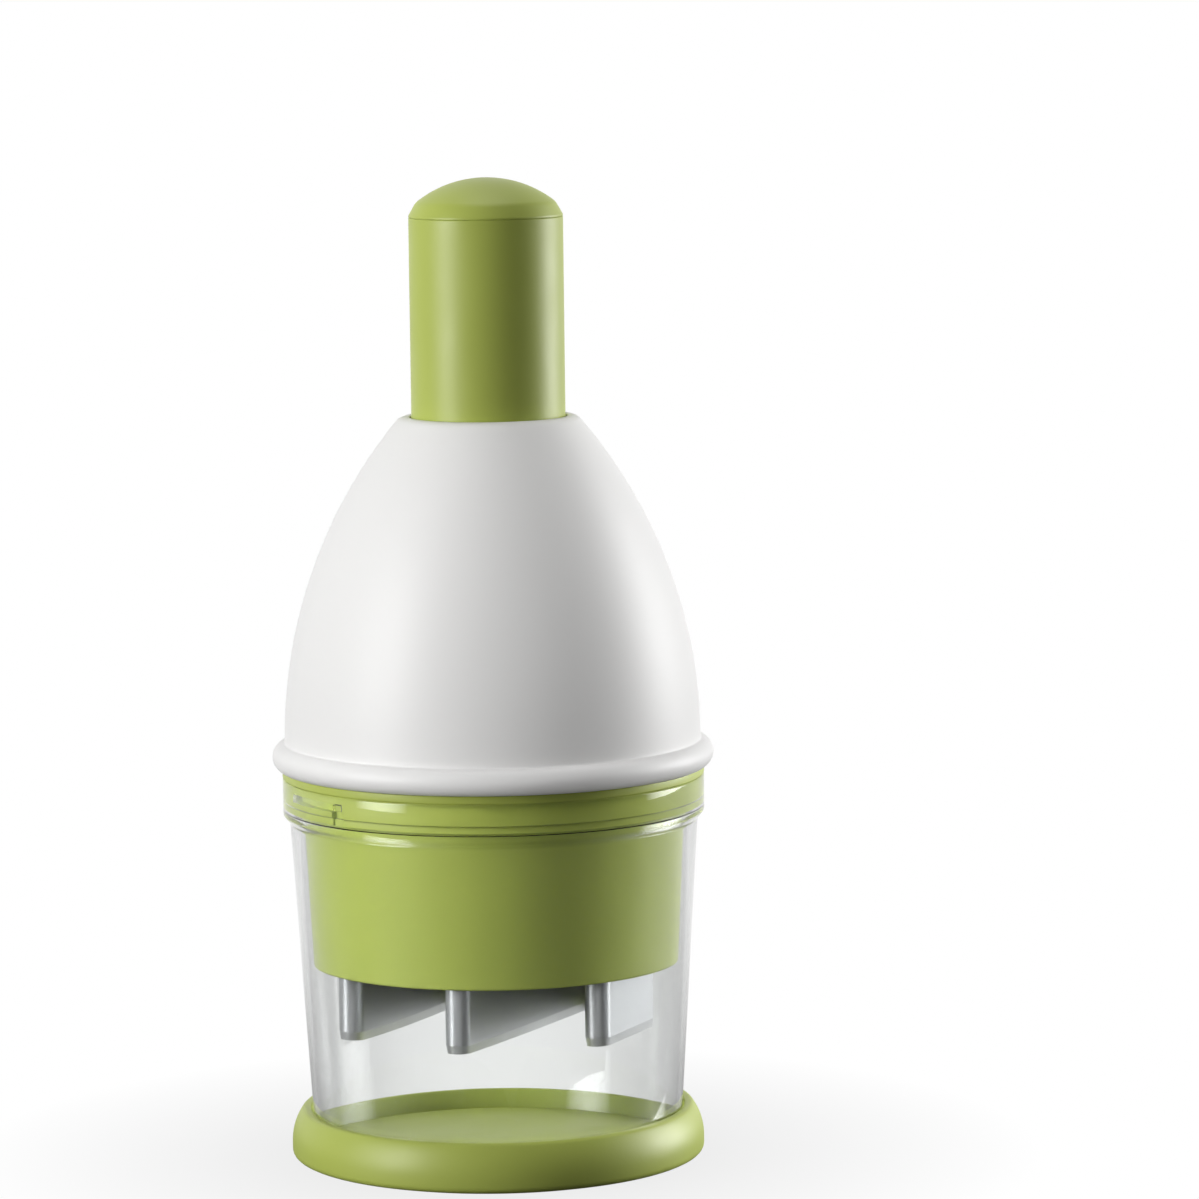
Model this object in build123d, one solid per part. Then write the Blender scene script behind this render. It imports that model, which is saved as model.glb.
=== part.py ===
from build123d import *

import os
from math import asin, atan2, ceil, cos, degrees, pi, radians, sin, sqrt, tan

# Push-down vegetable chopper, standing upright. Millimetres, +Z up.
# The origin is at the middle of the face that it stands on, and the front faces -Y.
# The plunger is modelled part way down its stroke, with the blade showing below its guard.

# Stroke of the plunger from the modelled pose, and the turn of the blade over the whole stroke
plunger_rise = 17.5
plunger_drop = 23.5
blade_index = 30.0

# Clearances
running_gap = 0.08
seat_gap = 0.05
slide_gap = 0.4
lift_gap = 0.35
stop_gap = 0.3
knife_gap = 0.4

# Base cap and the soft ring under it
foot_lift = 0.6
grip_width = 4.6
channel_wall = 1.2
channel_height = 4.0
floor_rise = 4.0
lip_rise = 8.0
lip_width = 1.9
lip_round = 0.8
base_bulge = 2.8
base_widest_height = 4.0
base_skirt_wall = 1.8
base_floor_wall = 2.4
base_foot_round = 1.6
base_rib_count = 6
base_rib_wall = 1.6
base_hub_radius = 9.0

# Clear container
container_foot_radius = 43.7
container_height = 87.8
container_draft = 3.56
container_wall = 2.0
collar_height = 8.4
collar_flare = 2.6
collar_step = 1.6
collar_wall = 1.6
rim_round = 0.5

# Bayonet between container and guard: lugs on the collar, L-shaped grooves in the guard
bayonet_count = 2
bayonet_azimuth = 222.0
bayonet_turn = 22.0
bayonet_lug_width = 2.8
bayonet_lug_height = 1.4
bayonet_lug_reach = 1.3
bayonet_lug_drop = 2.3

# Blade guard
flange_thickness = 2.0
guard_collar_height = 5.4
guard_step_height = 1.8
guard_step_inset = 0.8
guard_shoulder_height = 3.6
guard_collar_wall = 3.1
guard_gap = 1.35
guard_wall = 1.8
guard_cover = 1.9
guard_edge_round = 0.6
spigot_height = 5.5
spigot_wall = 1.4
twist_lug_count = 3
twist_lug_reach = 1.4
twist_lug_height = 2.0
twist_lug_span = 24.0
twist_ledge_height = 2.2
twist_ledge_span = 28.0
twist_ledge_lift = 0.5
skirt_gap = 0.75

# Dome
dome_rise = 77.0
dome_inset = 0.7
dome_wall = 2.2
dome_roof = 2.5
dome_top_round = 1.8
bead_height = 6.2
bead_reach = 3.0
bead_peak = 2.8
bead_foot_step = 0.5
bead_crease_round = 2.5
neck_land = 2.4
guide_depth = 19.0
guide_wall = 2.0
boss_count = 3
boss_azimuth = 90.0
boss_inset = 7.0
boss_radius = 3.6

# Bearing plate and what it carries
plate_thickness = 3.0
plate_lift = 1.2
plate_edge_gap = 0.4
plate_rib_count = 6
plate_rib_wall = 1.6
plate_rib_height = 3.0
bumper_height = 5.0
bumper_seat_overhang = 0.6
spring_guide_height = 8.0
spring_guide_gap = 0.6
bar_hole_gap = 0.9

# Ratchet
pocket_depth = 0.5
pocket_rim_wall = 4.8
nut_height = 6.0
nut_play = 0.1
nut_root_radius = 8.9
nut_tooth_depth = 1.1
nut_tooth_count = 12
pawl_ring_wall = 1.5
pawl_space = 2.65
pawl_finger_count = 2
pawl_finger_wall = 0.9
pawl_finger_teeth = 2
retainer_thickness = 2.0

# Handle
handle_radius = 18.2
handle_wall = 2.2
handle_exposed = 46.9
stop_flange_land = 2.4
stop_flange_height = 3.0
bulkhead_depth = 24.9
bulkhead_thickness = 3.0
bulkhead_hub_wall = 2.4
bulkhead_hub_height = 5.0
cap_bevel_height = 3.4
cap_bevel_inset = 1.7
cap_crown = 5.8
cap_wall = 2.0
cap_plug_depth = 7.5
cap_edge_land = 0.4

# Swivel of the bar in the handle
journal_radius = 2.5
bush_wall = 1.45
bush_flange_reach = 2.0
bush_flange_height = 1.6
bush_stand = 0.2
bar_collar_height = 4.6
bar_collar_step = 0.35
swivel_play = 0.3
washer_thickness = 0.8

# Twisted bar, blade carrier and blade
bar_side = 6.0
bar_section_step = 8.0
carrier_clearance = 0.5
carrier_gap = 1.4
carrier_hub_wall = 3.75
carrier_hub_height = 9.0
carrier_plate_drop = 3.0
carrier_plate_thickness = 3.0
carrier_rim_height = 5.0
carrier_rim_wall = 2.0
carrier_grip_wall = 1.3
carrier_grip_height = 3.0
carrier_screw_land = 3.0
blade_strip = 0.8
blade_edge = 0.15
blade_grind = 2.0
blade_fold_radius = 2.6
blade_gap = 2.0
blade_tip_inset = 2.6
blade_seat = 1.0
blade_azimuth = 256.0
blade_fold_pitch = 54.0
blade_tip_pitch = 50.0

# Return spring
spring_wire = 1.6
spring_side_gap = 3.2
spring_turns = 13
spring_dead_turns = 1
spring_dead_gap = 0.5
spring_end_gap = 0.1

# Screws: radius of shank, radius and height of head, length under the head
plate_screw = (1.25, 2.8, 2.2, 12.0)
retainer_screw = (1.0, 2.0, 1.2, 5.5)
carrier_screw_size = (1.5, 3.0, 1.6, 14.0)
top_screw_size = (1.5, 2.8, 2.0, 9.5)

# Heights that follow from the sizes above
container_foot_z = channel_height
grip_seat_z = channel_height - channel_wall
floor_z = channel_height + floor_rise
lip_z = channel_height + lip_rise
rim_z = container_foot_z + container_height
dome_foot_z = rim_z + flange_thickness
flank_z = dome_foot_z + bead_height
dome_top_z = flank_z + dome_rise
guide_z = dome_top_z - guide_depth
seam_z = dome_top_z + handle_exposed
spigot_z = dome_foot_z + spigot_height
plate_z = spigot_z + plate_lift
plate_top_z = plate_z + plate_thickness
pocket_z = plate_z + pocket_depth
retainer_top_z = pocket_z - nut_height - 2 * nut_play
retainer_z = retainer_top_z - retainer_thickness
stop_flange_z = guide_z - plunger_rise - stop_gap - stop_flange_height
bumper_z = stop_flange_z - plunger_drop - stop_gap - bumper_height
bulkhead_top_z = seam_z - bulkhead_depth
bulkhead_z = bulkhead_top_z - bulkhead_thickness
hub_z = bulkhead_z - bulkhead_hub_height
thrust_z = hub_z - bush_flange_height
shoulder_z = thrust_z - washer_thickness
journal_top_z = bulkhead_top_z + bush_stand + swivel_play
carrier_top_z = retainer_z - carrier_clearance - plunger_rise
carrier_plate_z = carrier_top_z - carrier_plate_drop - carrier_plate_thickness
carrier_z = carrier_top_z - carrier_hub_height
bar_z = carrier_z + carrier_screw_land
blade_z = floor_z + knife_gap + plunger_drop
blade_top_z = carrier_plate_z + blade_seat
guard_z = blade_z + plunger_rise - guard_cover
guard_collar_z = rim_z - guard_collar_height
guard_step_z = guard_collar_z - guard_step_height
guard_cup_z = guard_step_z - guard_shoulder_height
ledge_z = guard_step_z - stop_gap
twist_ledge_z = dome_foot_z + twist_ledge_lift
bayonet_top_z = rim_z - bayonet_lug_drop
bayonet_z = bayonet_top_z - bayonet_lug_height
collar_z = rim_z - collar_height
collar_flare_z = collar_z - collar_flare

# Radii that follow from the sizes above
taper = tan(radians(container_draft))


def container_outer(z):
    """Outer radius of the container's tapered wall at height z."""
    return container_foot_radius + taper * (z - container_foot_z)


def container_inner(z):
    return container_outer(z) - container_wall


def guard_outer(z):
    """Outer radius of the guard's tapered cup, parallel to the container's wall."""
    return container_inner(z) - guard_gap


collar_radius = container_outer(collar_flare_z) + collar_step
collar_inner = collar_radius - collar_wall
guard_collar_radius = collar_inner - lift_gap
guard_step_radius = guard_collar_radius - guard_step_inset
guard_bore = guard_collar_radius - guard_collar_wall
spigot_radius = guard_bore + spigot_wall
twist_lug_radius = spigot_radius + twist_lug_reach
skirt_radius = twist_lug_radius + skirt_gap
boss_circle = guard_bore - boss_inset
bayonet_lug_radius = collar_inner - bayonet_lug_reach
groove_radius = bayonet_lug_radius - lift_gap
lip_radius = container_outer(lip_z) + lift_gap
base_radius = lip_radius + lip_width + base_bulge
base_floor_radius = container_inner(container_foot_z) - lift_gap
grip_radius = base_radius - base_foot_round - base_skirt_wall
dome_radius = collar_radius - dome_inset
neck_radius = handle_radius + slide_gap
dome_top_radius = neck_radius + neck_land
guide_radius = neck_radius + guide_wall
dome_narrowing = dome_radius - dome_top_radius
dome_curve = (dome_narrowing**2 + dome_rise**2) / (2 * dome_narrowing)
sleeve_bore = handle_radius - handle_wall
spring_radius = sleeve_bore - spring_side_gap - spring_wire / 2
stop_flange_radius = neck_radius + stop_flange_land
bar_half_diagonal = bar_side / sqrt(2)
bar_hole_radius = bar_half_diagonal + bar_hole_gap
bar_collar_radius = bar_half_diagonal + bar_collar_step
carrier_hub_radius = bar_half_diagonal + carrier_hub_wall
nut_tip_radius = nut_root_radius + nut_tooth_depth
pawl_ring_inner = nut_tip_radius + pawl_space
pawl_ring_radius = pawl_ring_inner + pawl_ring_wall
pocket_radius = pawl_ring_radius + seat_gap
pocket_rim_radius = pocket_radius + pocket_rim_wall
retainer_screw_circle = pocket_radius + pocket_rim_wall / 2
bush_bore = journal_radius + running_gap
bush_radius = bush_bore + bush_wall
bush_flange_radius = bush_radius + bush_flange_reach
hub_bore = bush_radius + seat_gap
carrier_radius = guard_outer(guard_z) - guard_wall - carrier_gap
blade_radius = guard_outer(guard_z) - guard_wall - blade_gap
fold_circle = blade_radius - blade_fold_radius - blade_strip / 2
twist_rate = blade_index / (plunger_rise + plunger_drop)


def dome_inner(z):
    """Inner radius of the dome's flank at height z."""
    return dome_radius - dome_curve + sqrt((dome_curve - dome_wall) ** 2 - (z - flank_z) ** 2)


def turned(*edges):
    """Solid of revolution about Z from the edges of a closed (radius, height) outline."""
    return revolve(Plane.XZ * make_face(edges), axis=Axis.Z)


def turned_points(*points):
    return turned(Polyline(*points, close=True))


def tube(outer, inner, low, high):
    """Ring of two radii between two heights; an inner radius of zero makes a disc."""
    section = Circle(outer) - Circle(inner) if inner else Circle(outer)
    return extrude(Pos(0, 0, low) * section, high - low)


def sector(inner, outer, low, high, middle, span):
    """Piece of a ring, span degrees wide, about the azimuth named middle."""
    outline = Polyline((inner, low), (outer, low), (outer, high), (inner, high), close=True)
    piece = revolve(Plane.XZ * make_face(outline), axis=Axis.Z, revolution_arc=span)
    return Rot(0, 0, middle - span / 2) * piece


def azimuths(count, first=0.0):
    """Even pattern of directions about Z, in degrees."""
    return [first + 360 * index / count for index in range(count)]


def at(azimuth, radius, z=0.0):
    """Place on a circle about Z, turned to face outward."""
    return Rot(0, 0, azimuth) * Pos(radius, 0, z)


def cross_slot(size, z):
    """Cutter for a screw's cross-shaped drive, upward from the head's face at height z."""
    shank, head, head_height, length = size
    plan = Rectangle(head, shank / 2) + Rectangle(shank / 2, head)
    return extrude(Pos(0, 0, z) * plan, head_height / 2)


def pan_screw(size, z):
    """Screw with a flat round head below height z and its shank above."""
    shank, head, head_height, length = size
    body = tube(shank, 0, z, z + length) + tube(head, 0, z - head_height, z)
    return body - cross_slot(size, z - head_height)


def countersunk_screw(size, z):
    """Screw whose cone-shaped head ends flush at height z, with its shank above."""
    shank, head, head_height, length = size
    body = turned_points((0, z), (head, z), (shank, z + head_height), (shank, z + length), (0, z + length))
    return body - cross_slot(size, z)


def countersink(size, z, depth):
    """Cutter for a countersunk screw: its head's cone and a clear hole of the given depth."""
    shank, head, head_height, length = size
    hole = shank + seat_gap
    return turned_points(
        (0, z), (head + seat_gap, z), (hole, z + head_height), (hole, z + depth), (0, z + depth)
    )


def make_base_cap():
    """Green base with a channel for the container's foot and ribs under its floor."""
    under_floor_z = floor_z - base_floor_wall
    hollow_radius = base_floor_radius - base_floor_wall
    lip_outer = base_radius - base_bulge
    foot_corner = (base_radius - base_foot_round, foot_lift)
    side_start = (base_radius, foot_lift + base_foot_round)
    side_end = (base_radius, base_widest_height)
    outline = make_face(
        [
            Line((0, foot_lift), foot_corner),
            TangentArc(foot_corner, side_start, tangent=(1, 0)),
            Line(side_start, side_end),
            TangentArc(side_end, (lip_outer, lip_z), tangent=(0, 1)),
            Polyline((lip_outer, lip_z), (0, lip_z), (0, foot_lift)),
        ]
    )
    outline = fillet(outline.vertices().group_by(Axis.Y)[-1].sort_by(Axis.X)[-1], lip_round)
    body = revolve(Plane.XZ * outline, axis=Axis.Z)
    dish = turned_points(
        (0, floor_z),
        (base_floor_radius, floor_z),
        (base_floor_radius, channel_height),
        (lip_radius, channel_height),
        (lip_radius, lip_z),
        (0, lip_z),
    )
    hollow = turned_points(
        (0, foot_lift),
        (grip_radius, foot_lift),
        (grip_radius, grip_seat_z),
        (hollow_radius, grip_seat_z),
        (hollow_radius, under_floor_z),
        (0, under_floor_z),
    )
    body = body - dish - hollow
    body += tube(base_hub_radius, base_hub_radius - base_rib_wall, grip_seat_z, under_floor_z)
    rib_inner = base_hub_radius - base_rib_wall / 2
    rib_outer = hollow_radius + base_floor_wall / 2
    rib_height = under_floor_z - grip_seat_z
    rib = Box(rib_outer - rib_inner, base_rib_wall, rib_height)
    for azimuth in azimuths(base_rib_count):
        body += at(azimuth, (rib_inner + rib_outer) / 2, grip_seat_z + rib_height / 2) * rib
    return body


def make_grip_ring():
    """Soft ring that the chopper stands on, held in the base's recess."""
    return tube(grip_radius - seat_gap, grip_radius - grip_width, 0, grip_seat_z)


def make_container():
    """Clear tapered tube with a wider collar and inward bayonet lugs."""
    outline = make_face(
        [
            Polyline(
                (container_inner(ledge_z), ledge_z),
                (container_inner(container_foot_z), container_foot_z),
                (container_foot_radius, container_foot_z),
                (container_outer(collar_flare_z), collar_flare_z),
            ),
            Spline(
                (container_outer(collar_flare_z), collar_flare_z),
                (collar_radius, collar_z),
                tangents=((taper, 1), (0, 1)),
            ),
            Polyline(
                (collar_radius, collar_z),
                (collar_radius, rim_z),
                (collar_inner, rim_z),
                (collar_inner, ledge_z),
                (container_inner(ledge_z), ledge_z),
            ),
        ]
    )
    outline = fillet(outline.vertices().group_by(Axis.Y)[-1], rim_round)
    outline = fillet(outline.vertices().group_by(Axis.Y)[0], rim_round)
    body = revolve(Plane.XZ * outline, axis=Axis.Z)
    lug_span = degrees(bayonet_lug_width / collar_inner)
    lug_root = collar_inner + collar_wall / 2
    for azimuth in azimuths(bayonet_count, bayonet_azimuth):
        body += sector(bayonet_lug_radius, lug_root, bayonet_z, bayonet_top_z, azimuth, lug_span)
    return body


def make_blade_guard():
    """Green cup round the blade, with flange, bayonet collar and a lugged spigot for the dome."""
    body = turned_points(
        (guard_outer(guard_z), guard_z),
        (guard_outer(guard_cup_z), guard_cup_z),
        (guard_outer(guard_step_z), guard_step_z),
        (guard_step_radius, guard_step_z),
        (guard_step_radius, guard_collar_z),
        (guard_collar_radius, guard_collar_z),
        (guard_collar_radius, rim_z),
        (collar_radius, rim_z),
        (collar_radius, dome_foot_z),
        (spigot_radius, dome_foot_z),
        (spigot_radius, spigot_z),
        (guard_bore, spigot_z),
        (guard_bore, guard_step_z),
        (guard_outer(guard_cup_z) - guard_wall, guard_cup_z),
        (guard_outer(guard_z) - guard_wall, guard_z),
    )
    lower_edges = body.edges().filter_by(GeomType.CIRCLE).group_by(Axis.Z)[0]
    body = fillet(lower_edges, guard_edge_round)
    lug_root = spigot_radius - spigot_wall / 2
    lug_z = twist_ledge_z + twist_ledge_height + stop_gap
    for azimuth in azimuths(twist_lug_count):
        body += sector(lug_root, twist_lug_radius, lug_z, lug_z + twist_lug_height, azimuth, twist_lug_span)
    groove_z = bayonet_z - stop_gap
    groove_top = bayonet_top_z + stop_gap
    entry_span = degrees((bayonet_lug_width + 2 * lift_gap) / collar_inner)
    leg_span = bayonet_turn + entry_span
    for azimuth in azimuths(bayonet_count, bayonet_azimuth):
        leg_middle = azimuth - bayonet_turn / 2
        body -= sector(groove_radius, collar_radius, guard_step_z, groove_top, azimuth, entry_span)
        body -= sector(groove_radius, collar_radius, groove_z, groove_top, leg_middle, leg_span)
    return body


def make_dome_shell():
    """White housing: beaded rim, egg-shaped flank, guide tube for the handle and screw bosses."""
    roof_z = dome_top_z - dome_roof
    top_corner = (dome_top_radius, dome_top_z)
    flank_start = (dome_radius, flank_z)
    bead_start = (collar_radius + bead_foot_step, dome_foot_z)
    bead_middle = (dome_radius + bead_reach, dome_foot_z + bead_peak)
    outline = make_face(
        [
            Line((0, dome_foot_z), bead_start),
            ThreePointArc(bead_start, bead_middle, flank_start),
            TangentArc(flank_start, top_corner, tangent=(0, 1)),
            Polyline(top_corner, (0, dome_top_z), (0, dome_foot_z)),
        ]
    )
    outline = fillet(outline.vertices().group_by(Axis.Y)[-1].sort_by(Axis.X)[-1], dome_top_round)
    outline = fillet(outline.vertices().sort_by_distance((*flank_start, 0))[0], bead_crease_round)
    outer = revolve(Plane.XZ * outline, axis=Axis.Z)
    inner_start = (dome_inner(flank_z), flank_z)
    inner_end = (dome_inner(roof_z), roof_z)
    cavity = turned(
        Polyline((0, dome_foot_z), (skirt_radius, dome_foot_z), (skirt_radius, spigot_z), inner_start),
        TangentArc(inner_start, inner_end, tangent=(0, 1)),
        Polyline(inner_end, (0, roof_z), (0, dome_foot_z)),
    )
    body = outer - cavity + tube(guide_radius, 0, guide_z, roof_z)
    boss = tube(boss_radius, 0, plate_top_z, guide_z)
    hole = tube(plate_screw[0] + seat_gap, 0, plate_top_z, plate_z + plate_screw[3] + seat_gap)
    for azimuth in azimuths(boss_count, boss_azimuth):
        body += (at(azimuth, boss_circle) * boss) & outer
        body -= at(azimuth, boss_circle) * hole
    ledge_inner = spigot_radius + lift_gap
    ledge_root = skirt_radius + bead_foot_step
    ledge_top = twist_ledge_z + twist_ledge_height
    for azimuth in azimuths(twist_lug_count):
        body += sector(ledge_inner, ledge_root, twist_ledge_z, ledge_top, azimuth, twist_ledge_span)
    return body - tube(neck_radius, 0, guide_z, dome_top_z)


def make_bearing_plate():
    """Plate under the dome: spring seat, bumper seat, ribs, and the ratchet's pocket below."""
    edge = dome_inner(plate_top_z) - plate_edge_gap
    rib_edge = dome_inner(plate_top_z + plate_rib_height) - plate_edge_gap - plate_rib_wall
    seat_inner = sleeve_bore - bumper_seat_overhang
    seat_outer = stop_flange_radius + bumper_seat_overhang
    guide_outer = spring_radius - spring_wire / 2 - spring_guide_gap
    guide_top_z = plate_top_z + spring_guide_height
    body = tube(edge, 0, plate_z, plate_top_z)
    body += tube(seat_outer, seat_inner, plate_top_z, bumper_z)
    body += tube(guide_outer, 0, plate_top_z, guide_top_z)
    body += tube(pocket_rim_radius, 0, retainer_top_z, plate_z)
    rib_inner = (seat_inner + seat_outer) / 2
    rib = Box(rib_edge - rib_inner, plate_rib_wall, plate_rib_height)
    for azimuth in azimuths(plate_rib_count):
        body += at(azimuth, (rib_edge + rib_inner) / 2, plate_top_z + plate_rib_height / 2) * rib
    body -= tube(pocket_radius, 0, retainer_top_z, pocket_z)
    body -= tube(bar_hole_radius, 0, pocket_z, guide_top_z)
    clear_hole = tube(plate_screw[0] + stop_gap, 0, plate_z, plate_top_z)
    cover_hole_top = retainer_z + retainer_screw[3] + seat_gap
    cover_hole = tube(retainer_screw[0] + seat_gap, 0, retainer_top_z, cover_hole_top)
    for azimuth in azimuths(boss_count, boss_azimuth):
        body -= at(azimuth, boss_circle) * clear_hole
        body -= at(azimuth, retainer_screw_circle) * cover_hole
    return body


def screw_circle(screw, radius):
    """Copies of one screw at the azimuths of the dome's bosses."""
    return Compound([at(azimuth, radius) * screw.solid() for azimuth in azimuths(boss_count, boss_azimuth)])


def make_plate_screws():
    return screw_circle(pan_screw(plate_screw, plate_z), boss_circle)


def make_bumper_ring():
    """Soft ring that stops the handle at the bottom of its stroke."""
    return tube(stop_flange_radius, sleeve_bore, bumper_z, bumper_z + bumper_height)


def twisted_bar(side, low, high):
    """Square bar with a steady twist about Z, in short ruled lengths."""
    count = ceil((high - low) / bar_section_step)
    heights = [low + (high - low) * index / count for index in range(count + 1)]
    sections = [Pos(0, 0, z) * Rot(0, 0, twist_rate * z) * Rectangle(side, side) for z in heights]
    return loft(sections, ruled=True)


def polar(azimuth, radius):
    return (radius * cos(radians(azimuth)), radius * sin(radians(azimuth)))


def make_ratchet_nut():
    """Nut with a twisted square hole for the bar and saw teeth on its rim."""
    low = retainer_top_z + nut_play
    teeth = []
    for azimuth in azimuths(nut_tooth_count):
        teeth += [polar(azimuth, nut_root_radius), polar(azimuth, nut_tip_radius)]
    body = extrude(Pos(0, 0, low) * make_face(Polyline(*teeth, close=True)), nut_height)
    return body - twisted_bar(bar_side + 2 * running_gap, low, low + nut_height)


def make_pawl_ring():
    """Ring in the pocket with spring fingers whose tips stand against the nut's teeth."""
    low = retainer_top_z + nut_play
    tip_radius = nut_root_radius + slide_gap + pawl_finger_wall / 2
    tip_azimuth = 360 * pawl_finger_teeth / nut_tooth_count - degrees(stop_gap / tip_radius)
    root = polar(0, pawl_ring_inner)
    middle = polar(tip_azimuth / 2, (pawl_ring_inner + tip_radius) / 2)
    tip = polar(tip_azimuth, tip_radius)
    finger = trace(ThreePointArc(root, middle, tip), pawl_finger_wall)
    plan = Circle(pawl_ring_radius) - Circle(pawl_ring_inner)
    for azimuth in azimuths(pawl_finger_count):
        plan += Rot(0, 0, azimuth) * finger
    return extrude(Pos(0, 0, low) * plan, nut_height)


def make_nut_retainer():
    """Cover that keeps the nut and the pawl ring in their pocket."""
    body = tube(pocket_rim_radius, bar_hole_radius, retainer_z, retainer_top_z)
    cutter = countersink(retainer_screw, retainer_z, retainer_thickness)
    for azimuth in azimuths(boss_count, boss_azimuth):
        body -= at(azimuth, retainer_screw_circle) * cutter
    return body


def make_retainer_screws():
    return screw_circle(countersunk_screw(retainer_screw, retainer_z), retainer_screw_circle)


def coil_height(turn, low, high):
    """Height of the wire's centre after so many turns: close turns at both ends, open ones between."""
    close_rise = spring_wire + spring_dead_gap
    open_turns = spring_turns - 2 * spring_dead_turns
    open_rise = (high - low - 2 * spring_dead_turns * close_rise) / open_turns
    if turn <= spring_dead_turns:
        return low + turn * close_rise
    if turn <= spring_dead_turns + open_turns:
        return low + spring_dead_turns * close_rise + (turn - spring_dead_turns) * open_rise
    return high - (spring_turns - turn) * close_rise


def biarc(start, start_direction, end, end_direction):
    """Two arcs that join two points and meet there the two given unit directions."""
    chord = end - start
    both = start_direction + end_direction
    slope = chord.dot(both)
    spread = 2 * (1 - start_direction.dot(end_direction))
    reach = (-slope + sqrt(slope**2 + spread * chord.dot(chord))) / spread
    joint = (start + end + (start_direction - end_direction) * reach) * 0.5
    first = TangentArc(start, joint, tangent=start_direction)
    return [first, TangentArc(joint, end, tangent=first % 1)]


def make_main_spring():
    """Return spring from the plate to the handle's bulkhead, one unbroken wire."""
    low = plate_top_z + spring_end_gap + spring_wire / 2
    high = bulkhead_z - spring_end_gap - spring_wire / 2
    step = 0.25

    def point(turn):
        angle = 2 * pi * turn
        height = coil_height(turn, low, high)
        return Vector(spring_radius * cos(angle), spring_radius * sin(angle), height)

    def direction(turn):
        angle = 2 * pi * turn
        before = coil_height(max(turn - step, 0), low, high)
        after = coil_height(min(turn + step, spring_turns), low, high)
        width = min(turn + step, spring_turns) - max(turn - step, 0)
        rise = (after - before) / width
        around = 2 * pi * spring_radius
        return Vector(-around * sin(angle), around * cos(angle), rise).normalized()

    edges = []
    for index in range(int(spring_turns / step)):
        start = index * step
        edges += biarc(point(start), direction(start), point(start + step), direction(start + step))
    path = Wire(edges)
    section = Plane(origin=point(0), z_dir=direction(0)) * Circle(spring_wire / 2)
    samples = [point(index * step) for index in range(int(spring_turns / step) + 1)]
    per_turn = int(1 / step)
    pitches = [(upper - lower).length for lower, upper in zip(samples, samples[per_turn:])]
    print("main_spring least gap between turns", round(min(pitches) - spring_wire, 2), "mm")
    return sweep(section, path=path)


def make_handle_sleeve():
    """Push handle: tube with a stop flange inside the dome and a bulkhead that carries the bar."""
    body = tube(handle_radius, sleeve_bore, stop_flange_z, seam_z)
    body += tube(stop_flange_radius, sleeve_bore, stop_flange_z, stop_flange_z + stop_flange_height)
    body += tube(sleeve_bore + handle_wall / 2, 0, bulkhead_z, bulkhead_top_z)
    body += tube(hub_bore + bulkhead_hub_wall, 0, hub_z, bulkhead_z)
    return body - tube(hub_bore, 0, hub_z, bulkhead_top_z)


def make_handle_cap():
    """Domed cap with a bevelled edge, plugged into the top of the sleeve."""
    bevel_z = seam_z + cap_bevel_height
    top_z = bevel_z + cap_crown
    bevel_radius = handle_radius - cap_bevel_inset
    edge_z = seam_z + cap_edge_land
    outer = turned(
        Polyline((0, seam_z), (handle_radius, seam_z), (handle_radius, edge_z), (bevel_radius, bevel_z)),
        TangentArc((0, top_z), (bevel_radius, bevel_z), tangent=(1, 0)),
        Line((0, top_z), (0, seam_z)),
    )
    inner_radius = bevel_radius - cap_wall
    inner = turned(
        Polyline((0, seam_z), (inner_radius, seam_z), (inner_radius, bevel_z - cap_wall)),
        TangentArc((0, top_z - cap_wall), (inner_radius, bevel_z - cap_wall), tangent=(1, 0)),
        Line((0, top_z - cap_wall), (0, seam_z)),
    )
    plug = tube(sleeve_bore - seat_gap, inner_radius, seam_z - cap_plug_depth, seam_z)
    return outer - inner + plug


def make_swivel_bush():
    """Flanged bush in the bulkhead, in which the bar turns."""
    body = tube(bush_radius, bush_bore, hub_z, bulkhead_top_z + bush_stand)
    return body + tube(bush_flange_radius, bush_bore, thrust_z, hub_z)


def make_thrust_washer():
    return tube(bush_flange_radius - seat_gap, journal_radius + seat_gap, shoulder_z, thrust_z)


def make_twist_bar():
    """Square twisted bar with a round collar and journal at its top, tapped at both ends."""
    collar_low = shoulder_z - bar_collar_height
    body = twisted_bar(bar_side, bar_z, collar_low)
    body += tube(bar_collar_radius, 0, collar_low, shoulder_z)
    body += tube(journal_radius, 0, shoulder_z, journal_top_z)
    top_hole = top_screw_size[0] + seat_gap
    low_hole = carrier_screw_size[0] + seat_gap
    top_hole_z = journal_top_z + washer_thickness - top_screw_size[3] - seat_gap
    low_hole_z = carrier_z + carrier_screw_size[3] + seat_gap
    body -= tube(top_hole, 0, top_hole_z, journal_top_z)
    return body - tube(low_hole, 0, bar_z, low_hole_z)


def make_top_washer():
    return tube(bush_radius, top_screw_size[0] + seat_gap, journal_top_z, journal_top_z + washer_thickness)


def make_top_screw():
    seat = journal_top_z + washer_thickness
    return Rot(180, 0, 0) * pan_screw(top_screw_size, -seat)


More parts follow.
